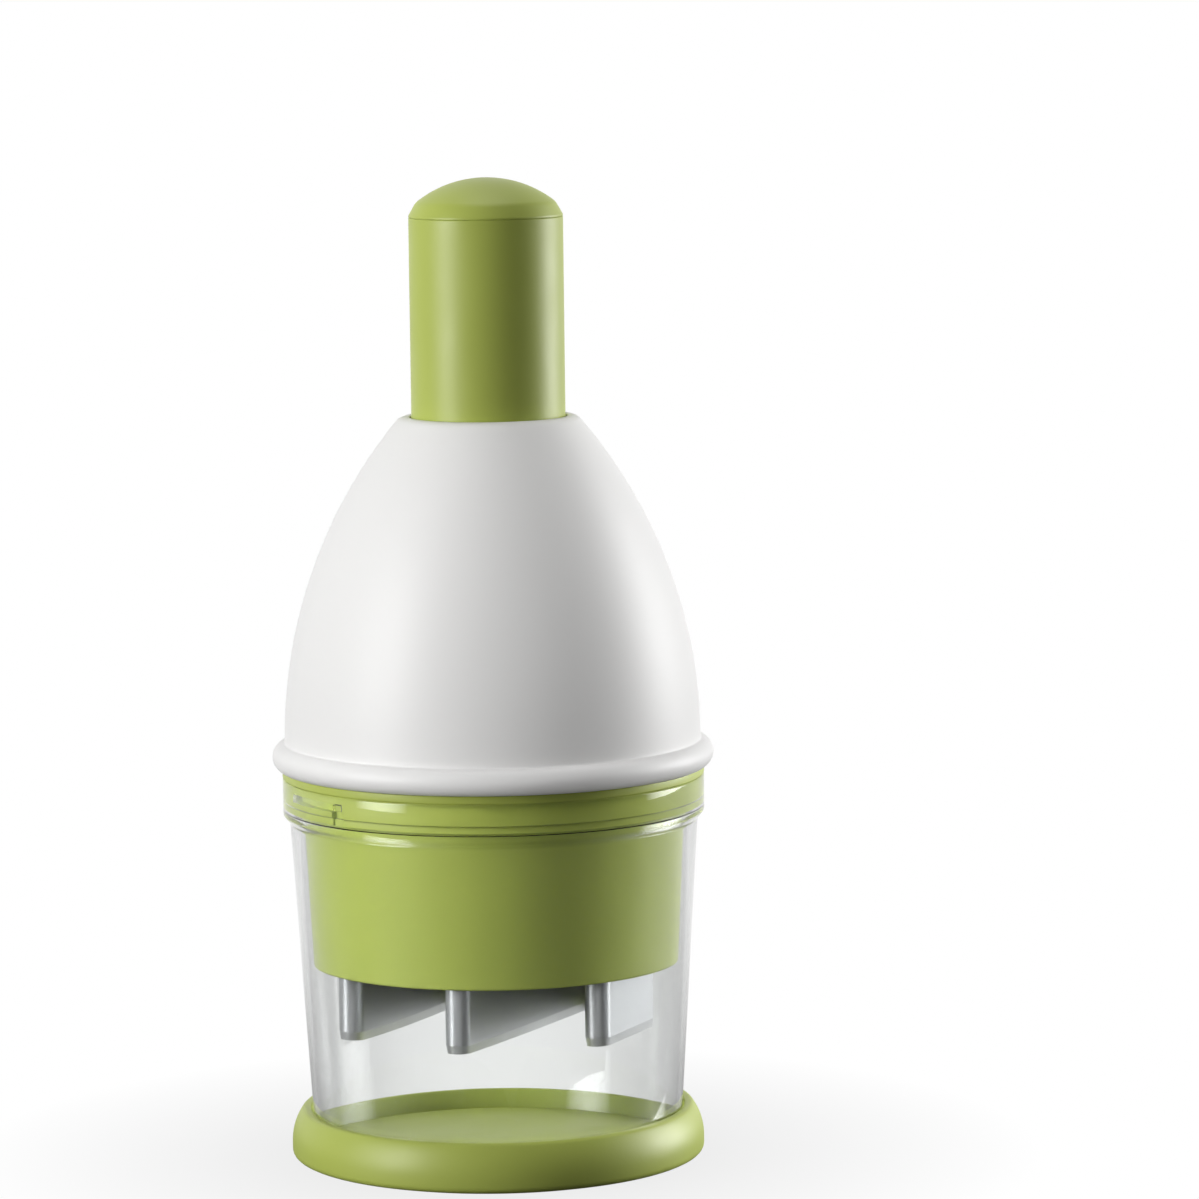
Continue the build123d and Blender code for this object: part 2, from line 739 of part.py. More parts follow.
def strip_side(side, grow):
    """One side of the folded strip: edges offset to the left of its middle line by side."""
    folds = [
        (blade_azimuth - blade_fold_pitch, 1),
        (blade_azimuth - 180 + blade_fold_pitch / 2, -1),
        (blade_azimuth, 1),
        (blade_azimuth - 180 - blade_fold_pitch / 2, -1),
        (blade_azimuth + blade_fold_pitch, 1),
    ]
    stops = [(Vector(*polar(azimuth, fold_circle)), sense, blade_fold_radius) for azimuth, sense in folds]
    tip_circle = blade_radius - blade_tip_inset
    first = Vector(*polar(blade_azimuth - blade_fold_pitch - blade_tip_pitch, tip_circle))
    last = Vector(*polar(blade_azimuth + blade_fold_pitch + blade_tip_pitch, tip_circle))
    stops = [(first, 1, 0)] + stops + [(last, 1, 0)]
    ends = []
    for (start, start_sense, start_radius), (end, end_sense, end_radius) in zip(stops, stops[1:]):
        line = end - start
        lean = asin((end_sense * end_radius - start_sense * start_radius) / line.length)
        heading = atan2(line.Y, line.X) - lean
        normal = Vector(-sin(heading), cos(heading))
        along = Vector(cos(heading), sin(heading)) * grow
        leave = start + normal * (side - start_sense * start_radius)
        reach = end + normal * (side - end_sense * end_radius)
        ends.append([leave, reach])
        if start is first:
            ends[-1][0] = leave - along
        if end is last:
            ends[-1][1] = reach + along
    edges = [Line(*ends[0])]
    for (middle, sense, radius), (before, after) in zip(stops[1:-1], zip(ends, ends[1:])):
        outward = (before[1] - middle) + (after[0] - middle)
        crest = middle + outward.normalized() * (radius - sense * side)
        edges += [ThreePointArc(before[1], crest, after[0]), Line(*after)]
    return edges


def strip_face(thickness, grow=0.0):
    """Plan of the folded blade strip at a given thickness, made longer at both ends by grow."""
    left = strip_side(thickness / 2, grow)
    right = strip_side(-thickness / 2, grow)
    caps = [Line(left[0] @ 0, right[0] @ 0), Line(left[-1] @ 1, right[-1] @ 1)]
    return make_face(left + right + caps)


def make_blade():
    """Folded stainless strip with a ground lower edge."""
    grind_z = blade_z + blade_grind
    keen = Pos(0, 0, blade_z) * strip_face(blade_edge)
    full = Pos(0, 0, grind_z) * strip_face(blade_strip)
    return loft([keen, full], ruled=True) + extrude(full, blade_top_z - grind_z)


def make_blade_carrier():
    """Disc that grips the blade's top edge, with a socket for the bar in its hub."""
    plate_top = carrier_plate_z + carrier_plate_thickness
    grip_z = carrier_plate_z - carrier_grip_height
    body = tube(carrier_radius, 0, carrier_plate_z, plate_top)
    body += tube(carrier_radius, carrier_radius - carrier_rim_wall, plate_top - carrier_rim_height, plate_top)
    body += tube(carrier_hub_radius, 0, carrier_z, carrier_top_z)
    grip_plan = strip_face(blade_strip + 2 * carrier_grip_wall, carrier_grip_wall)
    slot_plan = strip_face(blade_strip + 2 * seat_gap, seat_gap)
    grip = extrude(Pos(0, 0, grip_z) * grip_plan, carrier_grip_height)
    body += grip & tube(carrier_radius, 0, grip_z, carrier_plate_z)
    body -= extrude(Pos(0, 0, grip_z) * slot_plan, blade_top_z - grip_z + seat_gap)
    body -= twisted_bar(bar_side + 2 * seat_gap, bar_z, carrier_top_z)
    return body - countersink(carrier_screw_size, carrier_z, carrier_screw_land)


def make_carrier_screw():
    return countersunk_screw(carrier_screw_size, carrier_z)


pieces = {
    "base_cap": make_base_cap,
    "grip_ring": make_grip_ring,
    "container": make_container,
    "blade_guard": make_blade_guard,
    "dome_shell": make_dome_shell,
    "bearing_plate": make_bearing_plate,
    "plate_screws": make_plate_screws,
    "bumper_ring": make_bumper_ring,
    "main_spring": make_main_spring,
    "ratchet_nut": make_ratchet_nut,
    "pawl_ring": make_pawl_ring,
    "nut_retainer": make_nut_retainer,
    "retainer_screws": make_retainer_screws,
    "handle_sleeve": make_handle_sleeve,
    "handle_cap": make_handle_cap,
    "swivel_bush": make_swivel_bush,
    "twist_bar": make_twist_bar,
    "thrust_washer": make_thrust_washer,
    "top_washer": make_top_washer,
    "top_screw": make_top_screw,
    "blade_carrier": make_blade_carrier,
    "carrier_screw": make_carrier_screw,
    "blade": make_blade,
}

os.makedirs("parts", exist_ok=True)
for name, make in pieces.items():
    export_step(make(), f"parts/{name}.step")
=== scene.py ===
from math import acos, asin, cos, pi, radians, sin, tan

import bpy
from bpy.props import FloatProperty, FloatVectorProperty, IntProperty, PointerProperty
from bpy.types import Operator, Panel, PropertyGroup
from mathutils import Matrix, Vector


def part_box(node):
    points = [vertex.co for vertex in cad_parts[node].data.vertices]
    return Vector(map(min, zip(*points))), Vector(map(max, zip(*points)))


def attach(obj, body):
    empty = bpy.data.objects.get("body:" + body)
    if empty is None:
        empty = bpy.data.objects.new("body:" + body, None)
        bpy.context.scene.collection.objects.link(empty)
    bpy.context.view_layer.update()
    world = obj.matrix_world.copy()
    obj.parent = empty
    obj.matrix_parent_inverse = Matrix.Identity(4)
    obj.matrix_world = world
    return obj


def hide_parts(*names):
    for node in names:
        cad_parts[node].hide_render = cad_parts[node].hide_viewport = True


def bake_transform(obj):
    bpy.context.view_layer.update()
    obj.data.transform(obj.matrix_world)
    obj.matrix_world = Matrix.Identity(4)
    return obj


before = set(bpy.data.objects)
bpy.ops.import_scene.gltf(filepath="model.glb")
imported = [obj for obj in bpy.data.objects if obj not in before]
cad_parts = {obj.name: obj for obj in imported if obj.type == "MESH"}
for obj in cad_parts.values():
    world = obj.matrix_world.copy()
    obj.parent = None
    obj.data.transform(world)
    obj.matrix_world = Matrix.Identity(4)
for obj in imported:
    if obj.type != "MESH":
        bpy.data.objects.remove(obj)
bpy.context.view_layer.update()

bl_info = {
    "name": "Vegetable Chopper",
    "version": (1, 0, 0),
    "blender": (4, 5, 0),
    "location": "View3D > Sidebar > Chopper",
    "description": "Push-down vegetable chopper dressed over its mechanical frame",
    "category": "Add Mesh",
}

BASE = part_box("base_cap")
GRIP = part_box("grip_ring")
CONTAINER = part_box("container")
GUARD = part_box("blade_guard")
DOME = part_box("dome_shell")
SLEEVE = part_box("handle_sleeve")
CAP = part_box("handle_cap")
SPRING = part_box("main_spring")
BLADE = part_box("blade")

# Sides and steps of the round forms.
SIDES = 192
POST_SIDES = 48
WIRE_SIDES = 12
FLOOR_SIDES = 128
COIL_STEPS = 48
EDGE_STEPS = 5
CREASE_STEPS = 6
BASE_STEPS = 14
FLARE_STEPS = 12
FLANK_STEPS = 64
INNER_STEPS = 48
BEAD_STEPS = 20
CROWN_STEPS = 24
SWEEP_STEP = radians(2)

# Faces that meet at less than this angle are shaded as one; points nearer than these are the same.
SMOOTH_ANGLE = radians(32)
MERGE_DISTANCE = 1e-6
SAME_POINT = 1e-7

# A ray depth below this is none at all.
NO_BOUNCE = 0.5

# Brightness of a soft box's middle, for each of its two fades, that keeps its power.
LAMP_PEAK = 1.5

# Nodes that keep their mesh from the frame, by finish.
MECHANISM = {
    "White plastic": ("bearing_plate", "nut_retainer"),
    "Carrier plastic": ("blade_carrier",),
    "Acetal": ("ratchet_nut", "pawl_ring", "swivel_bush"),
    "Soft rubber": ("bumper_ring",),
    "Screw steel": (
        "plate_screws", "retainer_screws", "thrust_washer", "top_washer", "top_screw", "carrier_screw",
    ),
    "Bar steel": ("twist_bar",),
    "Blade steel": ("blade",),
}


def length(name, description, default):
    return FloatProperty(
        name=name, description=description, default=default, min=0.0, precision=5, unit="LENGTH"
    )


def angle(name, description, default):
    return FloatProperty(
        name=name, description=description, default=radians(default), subtype="ANGLE"
    )


def count(name, description, default):
    return IntProperty(name=name, description=description, default=default, min=1)


def share(name, description, default):
    return FloatProperty(
        name=name, description=description, default=default, min=0.0, max=1.0, subtype="FACTOR"
    )


def colour(name, description, default):
    return FloatVectorProperty(
        name=name, description=description, default=default, min=0.0, max=1.0, size=3, subtype="COLOR"
    )


class ChopperBase(PropertyGroup):
    radius: length("Radius", "Outer radius at the widest height", BASE[1].x)
    widest: length("Widest height", "Height at which the rounded side starts to lean in", 0.004)
    bulge: length("Bulge", "How far the side leans in up to the lip", 0.0028)
    foot_round: length("Foot rounding", "Rounding of the lower outer edge", 0.0016)
    lip_round: length("Lip rounding", "Rounding of the upper outer edge", 0.0008)
    edge_round: length("Edge rounding", "Rounding of the other edges", 0.0004)
    lip_radius: length("Lip bore", "Inner radius of the lip round the container", 0.04455)
    floor_radius: length("Floor radius", "Radius of the raised floor inside the container", 0.04135)
    floor_height: length("Floor height", "Height of the raised floor", 0.008)
    floor_wall: length("Floor wall", "Thickness of the floor and of its step", 0.0024)
    channel: length("Channel height", "Height at which the container's foot stands", 0.004)
    recess: length("Recess height", "Height of the seat of the soft ring", 0.0028)
    recess_radius: length("Recess radius", "Outer radius of the soft ring's seat", 0.04585)
    rib_count: count("Ribs", "Number of ribs under the floor", 6)
    rib_wall: length("Rib wall", "Thickness of the ribs and of their hub", 0.0016)
    hub_radius: length("Hub radius", "Radius of the ring in which the ribs meet", 0.009)
    grip_width: length("Grip width", "Width of the soft ring", 0.00455)
    grip_round: length("Grip rounding", "Rounding of the soft ring's lower edges", 0.0005)


class ChopperContainer(PropertyGroup):
    foot_radius: length("Foot radius", "Outer radius of the container's foot", 0.0437)
    draft: angle("Draft", "Lean of the tapered wall", 3.56)
    wall: length("Wall", "Thickness of the tapered wall", 0.002)
    collar: length("Collar height", "Height of the wider collar under the rim", 0.0084)
    collar_wall: length("Collar wall", "Thickness of the collar", 0.0016)
    contact: length("Contact", "How far the collar's bore closes on the guard", 0.00002)
    flare: length("Flare", "Height over which the wall widens to the collar", 0.0026)
    ledge: length("Ledge depth", "Depth of the ledge inside the collar, from the rim", 0.0075)
    edge_round: length("Edge rounding", "Rounding of rim and foot", 0.0005)
    lug_count: count("Lugs", "Number of bayonet lugs", 2)
    lug_azimuth: angle("Lug direction", "Direction of the first bayonet lug", 222.0)
    lug_width: length("Lug width", "Width of a bayonet lug", 0.0028)
    lug_height: length("Lug height", "Height of a bayonet lug", 0.0014)
    lug_reach: length("Lug reach", "How far a lug stands out of the collar", 0.0013)
    lug_drop: length("Lug drop", "Depth of the lug's top under the rim", 0.0023)


class ChopperGuard(PropertyGroup):
    gap: length("Wall gap", "Gap between the container's wall and the guard", 0.00135)
    wall: length("Wall", "Thickness of the tapered cup", 0.0018)
    flange: length("Flange", "Thickness of the flange on the container's rim", 0.002)
    collar: length("Collar height", "Height of the collar under the flange", 0.0054)
    collar_radius: length("Collar radius", "Outer radius of the collar", 0.04813)
    step: length("Step height", "Height of the step under the collar", 0.0018)
    step_inset: length("Step inset", "How far the step stands back from the collar", 0.0008)
    shoulder: length("Shoulder height", "Height of the sloped wall inside, under the step", 0.0036)
    bore: length("Bore", "Inner radius of collar and spigot", 0.04503)
    spigot: length("Spigot radius", "Outer radius of the spigot inside the dome", 0.04643)
    edge_round: length("Edge rounding", "Rounding of flange, collar and step", 0.0003)
    mouth_round: length("Mouth rounding", "Rounding of the lower edge", 0.0006)
    lug_count: count("Lugs", "Number of lugs on the spigot", 3)
    lug_reach: length("Lug reach", "How far these lugs stand out of the spigot", 0.0014)
    lug_height: length("Lug height", "Height of these lugs", 0.002)
    lug_lift: length("Lug lift", "Height of these lugs above the flange", 0.003)
    lug_span: angle("Lug span", "Width of these lugs, as an angle", 24.0)
    groove_gap: length("Groove gap", "Play of a bayonet lug in its groove", 0.0003)
    groove_turn: angle("Groove turn", "Turn that locks the bayonet", 22.0)


class ChopperDome(PropertyGroup):
    radius: length("Radius", "Radius at the foot of the egg-shaped flank", 0.04938)
    top_radius: length("Top radius", "Radius of the flat top before its rounding", 0.021)
    wall: length("Wall", "Thickness of the flank", 0.0022)
    top_round: length("Top rounding", "Rounding between flank and top", 0.0018)
    neck_radius: length("Neck radius", "Radius of the hole for the handle", 0.0186)
    neck_round: length("Neck rounding", "Rounding of the edge of that hole", 0.0004)
    guide_wall: length("Guide wall", "Thickness of the guide tube", 0.002)
    guide_depth: length("Guide depth", "Length of the guide tube from the top", 0.019)
    bead: length("Bead height", "Height of the beaded rim", 0.0062)
    bead_peak: length("Bead peak", "Height of the widest point of the bead above its foot", 0.0028)
    bead_foot: length("Bead foot", "Radius of the bead's lower edge", 0.05058)
    crease_round: length("Crease rounding", "Softness of the crease above the bead", 0.0015)
    skirt_radius: length("Skirt bore", "Inner radius of the rim", 0.04858)
    skirt: length("Skirt height", "Height of that bore", 0.0055)
    edge_round: length("Edge rounding", "Rounding of the lower edges", 0.0003)
    boss_count: count("Bosses", "Number of screw bosses inside", 3)
    boss_azimuth: angle("Boss direction", "Direction of the first boss", 90.0)
    boss_circle: length("Boss circle", "Radius of the circle of bosses", 0.038)
    boss_radius: length("Boss radius", "Radius of a boss", 0.0036)
    boss_foot: length("Boss foot", "Height at which the bosses meet the plate", 0.1035)
    pilot_radius: length("Pilot radius", "Radius of the screw hole in a boss", 0.0013)
    pilot_depth: length("Pilot depth", "Depth of that hole from the boss's foot", 0.00905)
    ledge_gap: length("Ledge gap", "Gap between the guard's spigot and the ledges under its lugs", 0.00035)
    ledge_lift: length("Ledge lift", "Height of the ledges above the lower edge", 0.0005)
    ledge_height: length("Ledge height", "Height of a ledge", 0.0022)
    ledge_span: angle("Ledge span", "Width of a ledge, as an angle", 28.0)


class ChopperHandle(PropertyGroup):
    radius: length("Radius", "Outer radius of the handle", 0.0182)
    wall: length("Wall", "Thickness of the tube", 0.0022)
    flange: length("Flange height", "Height of the stop flange", 0.003)
    bulkhead: length("Bulkhead depth", "Depth of the bulkhead's top under the tube's end", 0.0249)
    bulkhead_wall: length("Bulkhead wall", "Thickness of the bulkhead", 0.003)
    hub: length("Hub height", "Height of the hub under the bulkhead", 0.005)
    hub_bore: length("Hub bore", "Radius of the hole for the bush", 0.00408)
    hub_wall: length("Hub wall", "Thickness of the hub", 0.0024)
    edge_round: length("Edge rounding", "Rounding of the tube's edges", 0.0003)
    cap_bevel: length("Cap bevel height", "Height of the cap's bevelled edge", 0.0034)
    cap_inset: length("Cap bevel inset", "How far the bevel leans in", 0.0017)
    cap_land: length("Cap land", "Height of the straight edge under the bevel", 0.0004)
    cap_wall: length("Cap wall", "Thickness of the cap", 0.002)
    cap_plug_gap: length("Plug gap", "Gap between the cap's plug and the tube", 0.00005)
    cap_round: length("Cap rounding", "Rounding of the bevel's upper edge", 0.0007)


class ChopperSpring(PropertyGroup):
    wire: length("Wire", "Diameter of the spring's wire", 0.0016)
    turns: count("Turns", "Number of turns, the close ones included", 13)
    close_turns: count("Close turns", "Number of close turns at each end", 1)
    close_gap: length("Close gap", "Gap between the close turns", 0.0005)


class ChopperFinish(PropertyGroup):
    green: colour("Green", "Green plastic of base, guard and handle", (0.47, 0.55, 0.105))
    white: colour("White", "White plastic of the dome", (0.88, 0.875, 0.865))
    clear: colour("Clear", "Tint of the clear container", (0.97, 0.98, 0.975))
    steel: colour("Blade steel", "Rolled stainless steel of the blade", (0.53, 0.54, 0.555))
    bar: colour("Bar steel", "Drawn steel of bar and spring", (0.50, 0.50, 0.51))
    screw: colour("Screw steel", "Plated steel of screws and washers", (0.56, 0.57, 0.60))
    acetal: colour("Acetal", "Milky plastic of the ratchet and bush", (0.78, 0.77, 0.72))
    carrier: colour("Carrier", "Pale grey plastic of the blade's carrier", (0.55, 0.56, 0.55))
    rubber: colour("Rubber", "Soft rubber of grip ring and bumper", (0.055, 0.058, 0.055))
    ground: colour("Ground edge", "Bright ground edge of the blade", (0.70, 0.71, 0.72))
    shade: colour("Clear shade", "Light that passes the wall into a shadow", (0.97, 0.975, 0.972))
    green_rough: share("Green roughness", "Middle roughness of the green plastic", 0.42)
    white_rough: share("White roughness", "Middle roughness of the white plastic", 0.46)
    # Painted shade: how much of its tint the clear container keeps where its wall is seen edge on.
    clear_edge_painted_shade: share("Clear edge", "Share of its tint that the container keeps edge on", 0.32)
    ground_height: length("Ground height", "Height of the blade's ground edge", 0.002)
    ground_fade: length("Ground fade", "Height over which the ground edge ends", 0.0004)


class ChopperStage(PropertyGroup):
    distance: length("Camera distance", "Distance of the camera in front of the axis", 1.303)
    height: length("Camera height", "Height of the camera above the floor", 0.286)
    pitch: angle("Pitch", "How far the camera looks down", 6.7)
    yaw: angle("Yaw", "How far the camera looks to the right of the axis", 1.13)
    roll: angle("Roll", "Lean of the camera", 0.68)
    view: angle("View angle", "Width of the view", 12.36)
    floor: length("Floor", "Radius of the floor", 6.0)
    floor_tone: share("Floor tone", "Tone of the floor under the lamps", 0.07)
    # Painted shadow round the foot: near the axis the floor shows less white, fading out between the two
    # distances below.
    paper: share("Paper", "Share of plain white paper in the floor beside the axis", 0.84)
    painted_shadow_fade_start: length("Paper start", "Distance at which that share starts to grow", 0.05)
    painted_shadow_fade_end: length("Paper end", "Distance from which the floor is all paper", 0.13)
    mirror_front: length("Mirror front", "Distance in front from which mirrored rays see no paper", 0.05)
    mirror_back: length("Mirror back", "Distance behind from which mirrored rays see all of it", 0.25)
    room: share("Room", "Brightness of the dim room in front", 0.05)
    room_end: share("Room end", "Lean to the back at which the room has turned into paper", 0.6)


def rest():
    """Leave edit mode and deselect everything."""
    if bpy.context.object and bpy.context.object.mode != "OBJECT":
        bpy.ops.object.mode_set(mode="OBJECT")
    bpy.ops.object.select_all(action="DESELECT")


def arc(middle, radius, first, last, steps):
    """Points of an outline's arc between two directions, in radians."""
    directions = [first + (last - first) * step / steps for step in range(steps + 1)]
    return [(middle[0] + radius * cos(turn), middle[1] + radius * sin(turn)) for turn in directions]


def select_points(piece, points):
    """Select the vertices of the edited piece that lie at the given (radius, height) points."""
    bpy.ops.mesh.select_all(action="DESELECT")
    bpy.ops.object.mode_set(mode="OBJECT")
    for vertex in piece.data.vertices:
        here = Vector((vertex.co.x, vertex.co.z))
        vertex.select = any((here - Vector(point)).length < SAME_POINT for point in points)
    bpy.ops.object.mode_set(mode="EDIT")


def turned(name, outline, steps=EDGE_STEPS):
    """Turned piece from a closed outline of (radius, height) or (radius, height, rounding) corners.

    The outline starts as a ring of vertices, its corners are bevelled and it is spun about the axis.
    An edge of the outline that lies on the axis is left out.
    """
    rest()
    bpy.ops.mesh.primitive_circle_add(vertices=len(outline), radius=BASE[1].x)
    piece = bpy.context.object
    piece.name = piece.data.name = name
    for vertex, corner in zip(piece.data.vertices, outline):
        vertex.co = (corner[0], 0.0, corner[1])
    bpy.ops.object.mode_set(mode="EDIT")
    bpy.ops.mesh.select_mode(type="VERT")
    axis_points = [corner[:2] for corner in outline if corner[0] == 0.0]
    if axis_points:
        select_points(piece, axis_points)
        bpy.ops.mesh.delete(type="EDGE")
    roundings = sorted({corner[2] for corner in outline if len(corner) == 3})
    for rounding in roundings:
        select_points(piece, [corner[:2] for corner in outline if corner[2:] == (rounding,)])
        bpy.ops.mesh.bevel(offset=rounding, segments=steps, affect="VERTICES", clamp_overlap=True)
    bpy.ops.mesh.select_all(action="SELECT")
    bpy.ops.mesh.spin(steps=SIDES, angle=2 * pi, center=(0, 0, 0), axis=(0, 0, 1))
    close(piece)
    return piece


def close(piece):
    """Merge the seam and the poles of the edited piece, and point its faces outwards."""
    bpy.ops.mesh.select_all(action="SELECT")
    bpy.ops.mesh.remove_doubles(threshold=MERGE_DISTANCE)
    bpy.ops.mesh.delete_loose()
    bpy.ops.mesh.select_all(action="SELECT")
    bpy.ops.mesh.normals_make_consistent(inside=False)
    bpy.ops.object.mode_set(mode="OBJECT")


def segment(inner, outer, low, high, middle, span):
    """Piece of a ring about the axis: an upright plane swept through span, clockwise as spin turns."""
    rest()
    bpy.ops.mesh.primitive_plane_add(size=outer - inner)
    piece = bpy.context.object
    start = Matrix.Rotation(middle + span / 2, 4, "Z")
    corners = [(inner, low), (outer, low), (inner, high), (outer, high)]
    for vertex, (radius, height) in zip(piece.data.vertices, corners):
        vertex.co = start @ Vector((radius, 0.0, height))
    bpy.ops.object.mode_set(mode="EDIT")
    bpy.ops.mesh.select_all(action="SELECT")
    steps = max(2, round(span / SWEEP_STEP))
    bpy.ops.mesh.spin(steps=steps, angle=span, center=(0, 0, 0), axis=(0, 0, 1))
    close(piece)
    return piece


def post(radius, low, high, azimuth, circle):
    """Upright round post on a circle about the axis."""
    rest()
    place = (circle * cos(azimuth), circle * sin(azimuth), (low + high) / 2)
    bpy.ops.mesh.primitive_cylinder_add(
        vertices=POST_SIDES, radius=radius, depth=high - low, location=place
    )
    bpy.ops.object.transform_apply(location=True, rotation=False, scale=False)
    return bpy.context.object


def pick(*pieces):
    """Select these pieces alone and make the first one active."""
    rest()
    for piece in pieces:
        piece.select_set(True)
    bpy.context.view_layer.objects.active = pieces[0]


def combine(piece, tool, operation):
    """Join a tool to a piece, cut it out or keep what both share, and remove the tool."""
    pick(piece)
    change = piece.modifiers.new("Change", "BOOLEAN")
    change.operation = operation
    change.solver = "EXACT"
    change.object = tool
    bpy.ops.object.modifier_apply(modifier=change.name)
    bpy.data.objects.remove(tool, do_unlink=True)


def surface(piece, finish, node):
    """Shade a finished piece, give it its material and let it stand for its node."""
    pick(piece)
    bpy.ops.object.shade_smooth_by_angle(angle=SMOOTH_ANGLE)
    piece.data.materials.clear()
    piece.data.materials.append(bpy.data.materials[finish])
    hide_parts(node)
    rest()


def dress(piece, finish, body, node):
    """Finish a piece and put it on its body in place of its node."""
    surface(piece, finish, node)
    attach(piece, body)


def around(number, first=0.0):
    """Even pattern of directions about the axis, in radians."""
    return [first + 2 * pi * index / number for index in range(number)]


def container_outer(sizes, height):
    """Outer radius of the container's tapered wall."""
    return sizes.foot_radius + tan(sizes.draft) * (height - CONTAINER[0].z)


def feed(tree, node, inputs):
    """Link each named input of a shader node to an output, or set it to a plain value."""
    for name, value in inputs.items():
        if isinstance(value, bpy.types.NodeSocket):
            tree.links.new(value, node.inputs[name])
        else:
            node.inputs[name].default_value = value


def new_node(tree, kind, inputs, **settings):
    """New shader node with its settings and inputs."""
    node = tree.nodes.new(kind)
    for name, value in settings.items():
        setattr(node, name, value)
    feed(tree, node, inputs)
    return node


def new_material(name):
    """New material: its node tree with an output, and its Principled shader."""
    material = bpy.data.materials.new(name)
    material.use_nodes = True
    tree = material.node_tree
    tree.nodes.clear()
    shader = tree.nodes.new("ShaderNodeBsdfPrincipled")
    new_node(tree, "ShaderNodeOutputMaterial", {"Surface": shader.outputs["BSDF"]})
    return tree, shader


def mix_shaders(tree, factor, first, second):
    """Let a material show a mix of two shaders."""
    mix = new_node(tree, "ShaderNodeMixShader", {"Fac": factor, 1: first, 2: second})
    feed(tree, tree.nodes["Material Output"], {"Surface": mix.outputs["Shader"]})


def mix_colours(tree, factor, first, second):
    """Mix of two colours."""
    inputs = {"Factor": factor, "A": first, "B": second}
    return new_node(tree, "ShaderNodeMix", inputs, data_type="RGBA").outputs["Result"]


def component(tree, vector, axis):
    """One component of a vector."""
    return new_node(tree, "ShaderNodeSeparateXYZ", {"Vector": vector}).outputs[axis]


def calculate(tree, operation, first, second):
    """Math node on a value and a second value or number."""
    node = new_node(tree, "ShaderNodeMath", {0: first, 1: second}, operation=operation)
    return node.outputs["Value"]


def noise(tree, scale, detail, stretch=None):
    """Noise texture on Object coordinates, in grains per metre, stretched by a Mapping node if asked."""
    source = tree.nodes.new("ShaderNodeTexCoord").outputs["Object"]
    if stretch:
        mapping = new_node(tree, "ShaderNodeMapping", {"Vector": source, "Scale": stretch})
        source = mapping.outputs["Vector"]
    inputs = {"Vector": source, "Scale": scale, "Detail": detail}
    return new_node(tree, "ShaderNodeTexNoise", inputs).outputs["Fac"]


def spread(tree, value, low, high, first=0.3, last=0.7):
    """Map a value from first to last, a texture's middle range, to the range from low to high."""
    inputs = {"Value": value, "From Min": first, "From Max": last, "To Min": low, "To Max": high}
    return new_node(tree, "ShaderNodeMapRange", inputs).outputs["Result"]


def shift(tree, value, base, dark, light):
    """Colour that varies with a texture between a darker and a lighter share of base."""
    darker = (*[channel * dark for channel in base], 1.0)
    lighter = (*[min(1.0, channel * light) for channel in base], 1.0)
    return mix_colours(tree, value, darker, lighter)


def relief(tree, shader, value, strength, depth):
    """Bump from a texture, its depth in metres."""
    inputs = {"Height": value, "Strength": strength, "Distance": depth}
    bump = new_node(tree, "ShaderNodeBump", inputs)
    feed(tree, shader, {"Normal": bump.outputs["Normal"]})


def moulded(name, base, rough, grain, depth, play=0.04, cloud=0.04):
    """Moulded plastic: faint flow clouds in colour and gloss, and a fine skin."""
    tree, shader = new_material(name)
    clouds = noise(tree, scale=22.0, detail=3.0)
    gloss = noise(tree, scale=75.0, detail=4.0)
    skin = noise(tree, scale=grain, detail=3.0)
    tone = shift(tree, clouds, base, 1.0 - cloud, 1.0 + cloud)
    roughness = spread(tree, gloss, rough - play, rough + play)
    feed(tree, shader, {"Base Color": tone, "Roughness": roughness})
    relief(tree, shader, skin, strength=0.25, depth=depth)


def brushed(name, base, rough, stretch, depth=0.00003, play=0.05):
    """Metal with fine lines along one direction."""
    tree, shader = new_material(name)
    lines = noise(tree, scale=1.0, detail=4.0, stretch=stretch)
    tone = shift(tree, lines, base, 1.0 - play, 1.0 + play)
    roughness = spread(tree, lines, rough - play, rough + play)
    feed(tree, shader, {"Base Color": tone, "Roughness": roughness, "Metallic": 1.0})
    relief(tree, shader, lines, strength=0.3, depth=depth)
    return tree, shader


def blade_steel(finish):
    """Rolled stainless strip, brushed along its length, with a bright ground edge at the bottom."""
    tree, shader = brushed(
        "Blade steel", finish.steel, rough=0.38, stretch=(60.0, 60.0, 9000.0), depth=0.000002, play=0.03
    )
    coordinates = tree.nodes.new("ShaderNodeTexCoord")
    height = component(tree, coordinates.outputs["Object"], "Z")
    middle = BLADE[0].z + finish.ground_height
    fade = finish.ground_fade / 2
    ground = spread(tree, height, 1.0, 0.0, middle - fade, middle + fade)
    rolled = shader.inputs["Base Color"].links[0].from_socket
    feed(tree, shader, {"Base Color": mix_colours(tree, ground, rolled, (*finish.ground, 1.0))})


def clear_plastic(finish):
    """Clear moulded plastic, faintly wavy, with painted shade that darkens it edge on; lamps shine through
    it.
    """
    tree, shader = new_material("Clear plastic")
    # Painted shade: the tint darkens towards the silhouettes, where the wall is seen edge on.
    facing = new_node(tree, "ShaderNodeLayerWeight", {"Blend": 0.35})
    tint = shift(tree, facing.outputs["Facing"], finish.clear, 1.0, finish.clear_edge_painted_shade)
    feed(tree, shader, {"Base Color": tint, "Transmission Weight": 1.0, "IOR": 1.5, "Roughness": 0.02})
    relief(tree, shader, noise(tree, scale=35.0, detail=2.0), strength=0.08, depth=0.0002)
    path = tree.nodes.new("ShaderNodeLightPath")
    through = new_node(tree, "ShaderNodeBsdfTransparent", {"Color": (*finish.shade, 1.0)})
    mix_shaders(tree, path.outputs["Is Shadow Ray"], shader.outputs["BSDF"], through.outputs["BSDF"])


